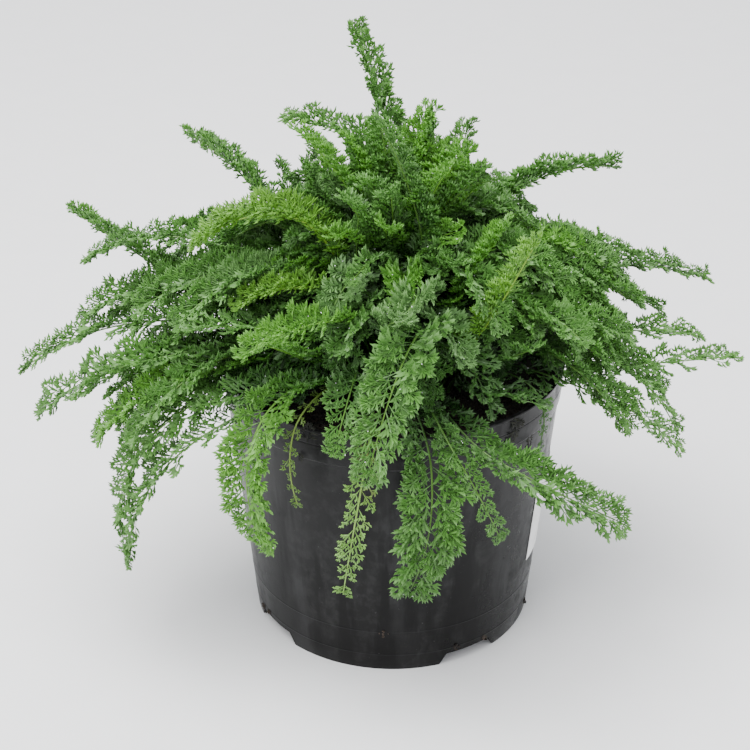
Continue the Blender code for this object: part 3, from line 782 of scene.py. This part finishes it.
def solid_leaflet_tips(place, half_width, roll):
    """Where the leaflets of a solid end."""
    pairs = max(FEWEST_PAIRS, round(path_length(place) * (1 - FIRST_LEAFLET) / LEAFLET_SPACING))
    step = (RIB_END - FIRST_LEAFLET) / pairs
    for index in range(pairs):
        part = FIRST_LEAFLET + (index + 0.5) * step
        along, across, upward = blade_frame(place, part, roll)
        lift = HIGH_LEAFLET_RISE if index % 2 else LOW_LEAFLET_RISE
        for hand in (1, -1):
            reach = leaflet_reach(part, half_width)
            if index % 2 == (hand > 0):
                reach *= SHORT_LEAFLET
            offset = across * hand + along * tan(radians(LEAFLET_SWEEP)) + upward * tan(radians(lift))
            yield place(part) + offset * reach


def settled(frond, root, corners, upright):
    """The path and the blade's half width that fit the solid's corners, and how far off its tip is."""

    def miss(path):
        tip = path(1) + blade_frame(path, 1, 0)[0] * TIP_LEAFLET
        return corners.find(tip)[2]

    def misfit(half_width):
        return sum(corners.find(point)[2] for point in solid_leaflet_tips(place, half_width, frond.roll))

    every = product(SIDE_STEPS, RISE_STEPS, REACH_STEPS)
    place = min((bent(frond, root, bend, upright) for bend in every), key=miss)
    half_width = min((frond.half_width * width for width in WIDTH_STEPS), key=misfit)
    return place, half_width, miss(place)


def side_leaf(frond):
    """The smaller leaf of a shoot."""

    def smaller(spot):
        azimuth, reach, height = spot
        raised = SOIL_TOP + (height - SOIL_TOP) * SIDE_LEAF_HEIGHT
        return azimuth + frond.side_leaf, reach * SIDE_LEAF_REACH, max(raised, SIDE_LEAF_LOWEST)

    return frond._replace(
        middle=smaller(frond.middle),
        tip=smaller(frond.tip),
        half_width=frond.half_width * SIDE_LEAF_WIDTH,
    )


def corners_of(node):
    """The corners of a solid, in millimetres, ready to search."""
    places = [vert.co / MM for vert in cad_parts[node].data.vertices]
    tree = kdtree.KDTree(len(places))
    for index, place in enumerate(places):
        tree.insert(place, index)
    tree.balance()
    return tree


def style_of(frond):
    for style, names in FROND_STYLES.items():
        if frond.name in names:
            return style
    height = frond.tip[2]
    return "open" if height < OPEN_BELOW else "full" if height < FULL_BELOW else "plume"


def leaves_of(frond, root):
    """The frond where its solid lies, and the smaller leaf of its shoot if the solid has one."""
    corners = corners_of("frond_" + frond.name)
    place, half_width, _ = settled(frond, root, corners, 1.0)
    style = style_of(frond)
    leaves = [Leaf(place, half_width, frond.finish, frond.roll, style, FIRST_LEAFLET, STALK_DEPTH)]
    if frond.side_leaf:
        start = place(SIDE_LEAF_START)
        second, second_width, miss = settled(side_leaf(frond), start, corners, SIDE_LEAF_UPRIGHT)
        if miss < CLOSE_MATCH:
            leaves.append(Leaf(second, second_width, frond.finish, frond.roll, style, FIRST_LEAFLET, 0.0))
    return leaves


def mound_height(reach):
    """How high the tips of the leaves stand at a distance from the pot's axis."""
    return float(np.interp(reach, MOUND_REACHES, MOUND_HEIGHTS))


def inner_leaf(tier, azimuth, chance):
    """A leaf that fills the mound between the fronds."""
    reach = chance.uniform(*tier.reach)
    drop = chance.uniform(*tier.drop)
    tip = around(azimuth + wobble(chance, TIP_SCATTER), reach, mound_height(reach) - drop)
    bend = reach * (UPRIGHT_BEND + (ARCHING_BEND - UPRIGHT_BEND) * tier.arch)
    upright = SOIL_TOP + UPRIGHT_MIDDLE * (tip.z - SOIL_TOP)
    arching = min(mound_height(bend) - drop, tip.z + ARCH_RISE)
    middle = around(azimuth, bend, upright + (arching - upright) * tier.arch)
    root = around(azimuth + wobble(chance, ROOT_SCATTER), chance.uniform(*INNER_ROOT_REACHES), SOIL_TOP)
    path = rib_path(root, middle, tip, RISE, 1.0)
    roll = wobble(chance, INNER_ROLL)
    return Leaf(path, tier.half_width, tier.finish, roll, tier.style, INNER_LEAF_START, STALK_DEPTH)


# Fine leaves


def lobe_mesh():
    """A pointed lobe, one long, wide and thick: a four-sided solid with a ridge along its upper side."""
    shape = bmesh.new()
    verts = bmesh.ops.create_cone(shape, cap_ends=True, segments=3, radius1=1, radius2=0, depth=1)["verts"]
    tip = max(verts, key=lambda vert: vert.co.z)
    start, left, right = (vert for vert in verts if vert is not tip)
    tip.co = (1, 0, 0.5)
    start.co = (0, 0, 0.5)
    left.co = (LOBE_WIDEST, 0.5, -0.5)
    right.co = (LOBE_WIDEST, -0.5, -0.5)
    face_outwards(shape)
    under = shape.faces.layers.float.new("underside")
    for face in shape.faces:
        face[under] = float(face.normal.z < 0)
    return mesh_of("lobe", shape)


def grown(shape, mesh, matrix):
    """Adds a copy of a mesh, placed by a matrix, and returns its vertices."""
    start = len(shape.verts)
    shape.from_mesh(mesh)
    shape.verts.ensure_lookup_table()
    new = shape.verts[start:]
    bmesh.ops.transform(shape, matrix=matrix, verts=new)
    return new


def turned_out(along, angle, lift):
    """A place along X, turned sideways and lifted, in degrees."""
    matrix = Matrix.Translation((along, 0, 0)) @ Matrix.Rotation(radians(angle), 4, "Z")
    return matrix @ Matrix.Rotation(radians(-lift), 4, "Y")


def pinna_mesh(name, style, lobe, chance):
    """A pinna one long: a midrib along X, forked branches on both sides and a forked end."""
    shape = bmesh.new()
    lobe_layer = shape.verts.layers.float.new("lobe")
    shape.faces.layers.float.new("underside")

    def add_lobe(matrix, length, start, end):
        sizes = Matrix.Diagonal((length, style.width, LOBE_THICKNESS, 1))
        for vert in grown(shape, lobe, matrix @ sizes):
            away = (vert.co - matrix.translation).length / length
            vert[lobe_layer] = start + (end - start) * min(1, away)

    def add_fork(matrix, length, start):
        add_lobe(matrix, length, start, 1.0)
        for side, at in ((1, style.fork), (-1, style.fork + SECOND_FINGER)):
            angle = side * (style.fork_angle + wobble(chance, 8))
            arm = matrix @ turned_out(at * length, angle, wobble(chance, style.lift))
            add_lobe(arm, length * style.finger * chance.uniform(0.85, 1.15), start + 0.3, 1.0)

    add_lobe(Matrix.Identity(4), MIDRIB_LENGTH, 0.0, 0.3)
    for pair in range(style.pairs):
        part = (pair + 0.5) / style.pairs
        for hand in (1, -1):
            along = FIRST_BRANCH + BRANCH_SPAN * part + wobble(chance, 0.04)
            angle = hand * (style.spread + 8 - 18 * part + wobble(chance, 7))
            length = style.branch * (1.05 - 0.5 * abs(part - 0.45)) * chance.uniform(0.88, 1.12)
            add_fork(turned_out(along, angle, wobble(chance, style.lift)), length, 0.2)
    add_fork(turned_out(END_FORK_PLACE, wobble(chance, 6), chance.uniform(-8, 10)), END_FORK_LENGTH, 0.3)
    droop = chance.uniform(*PINNA_DROOPS)
    cup = chance.uniform(*PINNA_CUPS)
    curl = wobble(chance, PINNA_CURL)
    for vert in shape.verts:
        vert.co.z += cup * abs(vert.co.y) - droop * vert.co.x**2
        vert.co.y += curl * vert.co.x**2
    return mesh_of(name, shape)


def rib_radius(part):
    if part < FIRST_LEAFLET:
        return STALK_RADIUS + (RIB_RADIUS - STALK_RADIUS) * part / FIRST_LEAFLET
    return RIB_RADIUS + (RIB_TIP_RADIUS - RIB_RADIUS) * (part - FIRST_LEAFLET) / (1 - FIRST_LEAFLET)


def ring_matrix(leaf, part, sunk=0.0):
    along, across, upward = blade_frame(leaf.place, part, leaf.roll)
    turn = Matrix((across, upward, -along)).transposed().to_4x4()
    here = Matrix.Translation(leaf.place(part) - Vector((0, 0, sunk)))
    return here @ turn @ Matrix.Scale(rib_radius(part), 4)


def add_rib(shape, leaf, runs):
    """The stalk and rib as one tapered tube, sunk into the soil."""
    steps = max(8, round(path_length(leaf.place) / RIB_STEP))
    ring = bmesh.ops.create_circle(shape, cap_ends=True, segments=RIB_SIDES, radius=1)["verts"]
    face = ring[0].link_faces[0]
    before = ring_matrix(leaf, 0, leaf.buried)
    bmesh.ops.transform(shape, matrix=before, verts=ring)
    runs.append((RIB_SIDES, 0.0, 0.5, 1.0))
    first = 0 if leaf.buried else 1
    for index in range(first, steps + 1):
        part = index / steps
        after = ring_matrix(leaf, part)
        face = extruded(shape, face)
        bmesh.ops.transform(shape, matrix=after @ before.inverted(), verts=list(face.verts))
        runs.append((RIB_SIDES, part, 0.5, 1.0))
        before = after


def pinna_matrix(leaf, part, hand, length, sweep, fold, twist):
    """Where a pinna stands on the rib. hand is 1 for the left, -1 for the right and 0 for the tip."""
    along, across, upward = blade_frame(leaf.place, part, leaf.roll)
    outward = across * hand * cos(radians(fold)) + upward * sin(radians(fold))
    if not hand:
        outward = upward * TIP_FAN_LIFT
    direction = (outward * cos(radians(sweep)) + along * sin(radians(sweep))).normalized()
    normal = (upward - direction * upward.dot(direction)).normalized()
    turn = Matrix((direction, normal.cross(direction), normal)).transposed().to_4x4()
    turn = turn @ Matrix.Rotation(radians(twist), 4, "X")
    return Matrix.Translation(leaf.place(part)) @ turn @ Matrix.Scale(length, 4)


def add_pinnae(shape, leaf, pinnae, runs, dew, chance):
    """Pairs of pinnae along the rib, and a fan of three at its tip."""
    style = STYLES[leaf.style]
    leafy_length = path_length(leaf.place) * (1 - leaf.start)
    pairs = max(FEWEST_PAIRS, round(leafy_length / style.spacing))

    def add_pinna(part, hand, length, sweep, fold, twist):
        matrix = pinna_matrix(leaf, part, hand, length, sweep, fold, twist)
        new = grown(shape, chance.choice(pinnae), matrix)
        runs.append((len(new), part, chance.random(), 0.0))
        if chance.random() < style.dew:
            spot = Vector((chance.uniform(0.4, 0.95), wobble(chance, 0.2), 0.05))
            dew.append(matrix @ spot)

    for index in range(pairs):
        leafy = (index + 0.4) / pairs
        width = leaf.half_width * style.reach * swell(PINNA_START + PINNA_SPAN * leafy)
        for hand in (1, -1):
            part = leaf.start + (RIB_END - leaf.start) * leafy + wobble(chance, 0.25) / pairs
            length = width * chance.uniform(0.86, 1.1)
            sweep = style.sweep + 20 * leafy**2 + wobble(chance, 8)
            fold = style.fold + wobble(chance, 1) * style.fold_spread
            twist = hand * style.twist + wobble(chance, 1) * style.twist_spread
            add_pinna(part, hand, length, sweep, fold, twist)
    for hand, sweep in TIP_FAN:
        add_pinna(RIB_END, hand, leaf.half_width * TIP_PINNA, sweep, style.fold / 2, 0)


def paint(mesh, runs):
    """Writes growth, tone and rib on the vertices, for the leaf finish to read."""
    counts = [run[0] for run in runs]
    for index, name in enumerate(("growth", "tone", "rib"), start=1):
        values = np.repeat(np.array([run[index] for run in runs], np.float32), counts)
        mesh.attributes.new(name, "FLOAT", "POINT").data.foreach_set("value", values)


def blank_shape():
    """An empty bmesh with the layers that a leaf's lobes bring."""
    shape = bmesh.new()
    shape.verts.layers.float.new("lobe")
    shape.faces.layers.float.new("underside")
    return shape


def leaf_piece(name, leaves, pinnae, finish, nodes, dew, chance):
    """One piece from the leaves that share a finish."""
    whole = blank_shape()
    runs = []
    for leaf in leaves:
        shape = blank_shape()
        add_rib(shape, leaf, runs)
        face_outwards(shape)
        add_pinnae(shape, leaf, pinnae[leaf.style], runs, dew, chance)
        whole.from_mesh(mesh_of("single_leaf", shape))
    piece = piece_from(name, whole, finish, nodes, smooth=False)
    paint(piece.data, runs)


def pinna_kinds(chance):
    """For each style, some pinnae to choose from."""
    lobe = lobe_mesh()
    return {
        name: [pinna_mesh(f"{name}_pinna_{index}", style, lobe, chance) for index in range(PINNA_SHAPES)]
        for name, style in STYLES.items()
    }


def make_leaves(pinnae, dew):
    chance = random.Random(11)
    finishes = {name: leaf_finish(name) for name in LEAF_COLOURS}

    def add_piece(name, leaves, finish, nodes):
        leaf_piece(name, leaves, pinnae, finishes[finish], nodes, dew, chance)

    for frond, root in zip(FRONDS, roots_of(FRONDS)):
        add_piece("leaf_" + frond.name, leaves_of(frond, root), frond.finish, ["frond_" + frond.name])
    for number, tier in enumerate(TIERS):
        first, last = tier.azimuths
        turns = [(GOLDEN_SHARE * (index + number / len(TIERS))) % 1 for index in range(tier.count)]
        leaves = [inner_leaf(tier, first + (last - first) * turn, chance) for turn in turns]
        add_piece(tier.name, leaves, tier.finish, ())


# Pot, label and soil


def turned(outline, sides):
    """A closed body turned from an outline of (radius, height) points that starts and ends on the axis."""
    shape = bmesh.new()
    points = [shape.verts.new((radius, 0, height)) for radius, height in outline]
    edges = [shape.edges.new(pair) for pair in zip(points, points[1:])]
    line = points + edges
    bmesh.ops.spin(
        shape, geom=line, cent=(0, 0, 0), axis=(0, 0, 1), angle=2 * pi, steps=sides, use_merge=True
    )
    bmesh.ops.remove_doubles(shape, verts=shape.verts, dist=0.001)
    face_outwards(shape)
    return shape


def rounded(outline, radius):
    """An outline with each inner corner cut back by up to a radius."""
    points = [Vector(point) for point in outline]
    result = [points[0]]
    for before, corner, after in zip(points, points[1:], points[2:]):
        back = min(radius, (before - corner).length / 3)
        ahead = min(radius, (after - corner).length / 3)
        start = corner + (before - corner).normalized() * back
        end = corner + (after - corner).normalized() * ahead
        result += [start, (start + 2 * corner + end) / 4, end]
    result.append(points[-1])
    return [tuple(point) for point in result]


def cutter_object(name, shape):
    bmesh.ops.scale(shape, vec=(MM, MM, MM), verts=shape.verts)
    return placed_object(name, mesh_of(name, shape))


def notch_cutter():
    """Four wedges with sloped ends, which pass through the skirt of the foot."""
    shape = bmesh.new()
    inner = FOOT_RADIUS - 4 * SKIRT
    outer = FOOT_RADIUS + 4 * SKIRT
    slope = (NOTCH_BOTTOM_WIDTH - NOTCH_TOP_WIDTH) / 2 / NOTCH_HEIGHT
    bottom = NOTCH_BOTTOM_WIDTH / 2 + slope * NOTCH_OVERCUT
    top = NOTCH_TOP_WIDTH / 2
    ends = ((-bottom, -NOTCH_OVERCUT), (bottom, -NOTCH_OVERCUT), (top, NOTCH_HEIGHT), (-top, NOTCH_HEIGHT))
    for azimuth in NOTCH_AZIMUTHS:
        corners = [shape.verts.new((inner, side, height)) for side, height in ends]
        far = list(extruded(shape, shape.faces.new(corners)).verts)
        bmesh.ops.translate(shape, verts=far, vec=(outer - inner, 0, 0))
        bmesh.ops.rotate(shape, verts=corners + far, matrix=Matrix.Rotation(radians(azimuth), 3, "Z"))
    face_outwards(shape)
    return cutter_object("notch_cutter", shape)


def drain_cutter():
    shape = bmesh.new()
    sizes = {"radius1": DRAIN_RADIUS, "radius2": DRAIN_RADIUS, "depth": 3 * FLOOR_TOP / 2}
    for index in range(DRAIN_COUNT):
        azimuth = NOTCH_AZIMUTHS[0] + index * 360 / DRAIN_COUNT
        place = Matrix.Translation(around(azimuth, DRAIN_RING, FLOOR_TOP))
        bmesh.ops.create_cone(shape, cap_ends=True, segments=DRAIN_SIDES, matrix=place, **sizes)
    return cutter_object("drain_cutter", shape)


def cut_through(piece, cutters):
    """Cuts the cutters out of a piece for good, and clears them away."""
    for cutter in cutters:
        modifier = piece.modifiers.new(cutter.name, "BOOLEAN")
        modifier.operation = "DIFFERENCE"
        modifier.object = cutter
    graph = bpy.context.evaluated_depsgraph_get()
    finished = bpy.data.meshes.new_from_object(piece.evaluated_get(graph))
    piece.modifiers.clear()
    piece.data = finished
    for cutter in cutters:
        bpy.data.objects.remove(cutter)
    smoothed(piece.data)


def moulding(height):
    """A fine raised ring round the wall."""
    below = height - RING_HALF_HEIGHT
    above = height + RING_HALF_HEIGHT
    crest = (wall_radius(height) + MOULDING_DEPTH, height)
    return (wall_radius(below), below), crest, (wall_radius(above), above)


def make_pot():
    outline = (
        (0, 0),
        (MIDDLE_FOOT_RADIUS, 0),
        (MIDDLE_FOOT_RADIUS + DRAFT, FLOOR_UNDERSIDE),
        (FOOT_RADIUS - SKIRT - DRAFT, FLOOR_UNDERSIDE),
        (FOOT_RADIUS - SKIRT, 0),
        (FOOT_RADIUS, 0),
        *moulding(MOULDING_HEIGHTS[0]),
        *moulding(MOULDING_HEIGHTS[1]),
        (WALL_TOP_RADIUS, BAND_BOTTOM),
        (BAND_RADIUS - BAND_STEP, BAND_BOTTOM + BAND_STEP),
        (BAND_RADIUS, RING_HEIGHT - RING_HALF_HEIGHT),
        (BAND_RADIUS - RING_DEPTH, RING_HEIGHT),
        (BAND_RADIUS, RING_HEIGHT + RING_HALF_HEIGHT),
        (BAND_RADIUS, POT_HEIGHT - LIP_HEIGHT - LIP_STEP),
        (LIP_RADIUS, POT_HEIGHT - LIP_HEIGHT),
        (LIP_RADIUS, POT_HEIGHT),
        (inner_radius(POT_HEIGHT), POT_HEIGHT),
        (inner_radius(FLOOR_TOP), FLOOR_TOP),
        (0, FLOOR_TOP),
    )
    shape = turned(rounded(outline, CORNER_ROUNDING), POT_SIDES)
    pot = piece_from("pot_wall", shape, plastic_finish(), ["nursery_pot"])
    cut_through(pot, [notch_cutter(), drain_cutter()])


def make_label():
    """A sticker bent round the wall, with faint creases."""
    shape = bmesh.new()
    flat = bmesh.ops.create_grid(shape, x_segments=28, y_segments=20, size=0.5)["verts"]
    start, end = LABEL_AZIMUTHS
    for vert in flat:
        azimuth = start + (end - start) * (vert.co.x + 0.5)
        height = LABEL_BOTTOM + (LABEL_TOP - LABEL_BOTTOM) * (vert.co.y + 0.5)
        crease = LABEL_CREASE * (0.5 + 0.5 * noise.noise(Vector((azimuth / 9, height / 14, 3))))
        vert.co = around(azimuth, wall_radius(height) + LABEL_GAP + LABEL_THICKNESS + crease, height)
    face_outwards(shape)
    outward = shape.faces[:][0]
    if outward.normal.dot(outward.calc_center_median() * Vector((1, 1, 0))) < 0:
        bmesh.ops.reverse_faces(shape, faces=shape.faces)
    bmesh.ops.solidify(shape, geom=shape.faces[:], thickness=LABEL_THICKNESS)
    face_outwards(shape)
    piece_from("label_sticker", shape, label_finish(), ["blank_label"])


def soil_height(place):
    """How far the soil's surface stands above or below its level there."""
    lumps = noise.fractal(place / 9, 1.0, 2.0, 4)
    broad = noise.noise(place / 30)
    return SOIL_LUMPS * lumps + SOIL_LUMPS * broad


def make_soil():
    bottom = FLOOR_TOP + SOIL_GAP
    edge = inner_radius(SOIL_TOP) - SOIL_GAP
    surface = [(edge * index / SOIL_RINGS, SOIL_TOP) for index in range(SOIL_RINGS, -1, -1)]
    outline = [(0, bottom), (inner_radius(bottom) - SOIL_GAP, bottom), *surface]
    shape = turned(outline, POT_SIDES)
    for vert in shape.verts:
        if vert.co.z > SOIL_TOP - 1:
            vert.co.z += soil_height(vert.co)
    finish = soil_finish()
    piece_from("soil_body", shape, finish, ["potting_soil"])
    make_crumbs(finish)


def crumb_mesh(name, chance):
    shape = bmesh.new()
    bmesh.ops.create_icosphere(shape, subdivisions=1, radius=1)
    for vert in shape.verts:
        vert.co *= chance.uniform(0.6, 1.25)
    return mesh_of(name, shape)


def make_crumbs(finish):
    """Crumbs of soil on the surface, and a few on the foot of the pot."""
    chance = random.Random(5)
    kinds = [crumb_mesh(f"crumb_{index}", chance) for index in range(CRUMB_SHAPES)]
    shape = bmesh.new()
    edge = inner_radius(SOIL_TOP) - 2

    def add_crumb(spot, size):
        turn = Euler([chance.uniform(0, 6.3) for _ in range(3)]).to_matrix().to_4x4()
        stretch = Matrix.Diagonal((size, size * chance.uniform(0.5, 1), size * chance.uniform(0.4, 0.9), 1))
        grown(shape, chance.choice(kinds), Matrix.Translation(spot) @ turn @ stretch)

    for _ in range(CRUMB_COUNT):
        spot = around(chance.uniform(0, 360), edge * sqrt(chance.random()), SOIL_TOP)
        spot.z += soil_height(spot) + 0.1
        add_crumb(spot, chance.uniform(0.5, 1.0) ** 2 * CRUMB_SIZE)
    for azimuth, height in FOOT_CRUMBS:
        for _ in range(CRUMBS_PER_SPOT):
            here = max(0.8, height + wobble(chance, 2))
            spot = around(azimuth + wobble(chance, 2), wall_radius(here), here)
            add_crumb(spot, chance.uniform(0.6, 1.7))
    piece_from("soil_crumbs", shape, finish)


def make_dead_bits(pinnae):
    """Dead bits of leaf that lie flat against the wall."""
    shape = blank_shape()
    for index, (azimuth, height, turn, length) in enumerate(DEAD_BITS):
        spot = around(azimuth, BAND_RADIUS + 0.4, height)
        facing = Matrix.Rotation(radians(azimuth), 4, "Z") @ Matrix.Rotation(radians(90), 4, "Y")
        lying = Matrix.Translation(spot) @ facing @ Matrix.Rotation(radians(turn), 4, "Z")
        flat = Matrix.Diagonal((length, length, 0.3 * length, 1))
        grown(shape, pinnae[index % len(pinnae)], lying @ flat)
    piece_from("dead_leaf_bits", shape, dead_leaf_finish(), smooth=False)


def make_dew(dew):
    """Small drops of water on the leaves, coloured near-white as a painted glint."""
    chance = random.Random(3)
    source = bmesh.new()
    bmesh.ops.create_icosphere(source, subdivisions=1, radius=1)
    drop = mesh_of("drop", source)
    shape = bmesh.new()
    for place in dew:
        grown(shape, drop, Matrix.Translation(place) @ Matrix.Scale(chance.uniform(*DROP_RADII), 4))
    piece_from("dew_drops", shape, dew_glint_finish())


def clear_moulds():
    """Removes the meshes that were only copied from."""
    for mesh in list(bpy.data.meshes):
        if not mesh.users:
            bpy.data.meshes.remove(mesh)


# Stage


def make_stage():
    shape = bmesh.new()
    bmesh.ops.create_grid(shape, x_segments=1, y_segments=1, size=FLOOR_REACH)

    def build(tree):
        broad = grain(tree, 40)
        colour = mix(tree, broad, (0.90, 0.90, 0.90), (0.94, 0.94, 0.94))
        return colour, ramp(tree, broad, 0.0, 1.0, 0.75, 0.85), broad

    floor = placed_object("floor", mesh_of("floor", shape))
    floor.data.materials.append(shaded("pale_floor", build, bump=0.0))
    floor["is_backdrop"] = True


def soft_light(name, place, target, size, power):
    data = bpy.data.lights.new(name, "AREA")
    data.size = size
    data.energy = power
    light = placed_object(name, data)
    light.location = place
    light.rotation_euler = (Vector(target) - Vector(place)).to_track_quat("-Z", "Y").to_euler()


def make_light():
    world = bpy.data.worlds.new("soft_room")
    world.use_nodes = True
    sky = world.node_tree.nodes["Background"]
    sky.inputs["Color"].default_value = SKY_COLOUR
    sky.inputs["Strength"].default_value = SKY_STRENGTH
    bpy.context.scene.world = world
    soft_light("overhead", *OVERHEAD_LIGHT)
    soft_light("front_left", *FRONT_LEFT_LIGHT)


def make_camera():
    data = bpy.data.cameras.new("camera")
    data.lens = CAMERA_LENS
    data.sensor_width = CAMERA_SENSOR
    camera = placed_object("camera", data)
    camera.location = CAMERA_PLACE
    camera.rotation_euler = Euler((radians(CAMERA_PITCH), 0, radians(CAMERA_TURN)))
    bpy.context.scene.camera = camera


make_camera()
make_stage()
make_light()
make_pot()
make_label()
make_soil()
dew_places = []
pinnae = pinna_kinds(random.Random(7))
make_leaves(pinnae, dew_places)
make_dead_bits(pinnae["open"])
make_dew(dew_places)
clear_moulds()

boxes = {"cad": cad_box, "visual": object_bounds()}
{name: [list(corner) for corner in box] for name, box in boxes.items()}
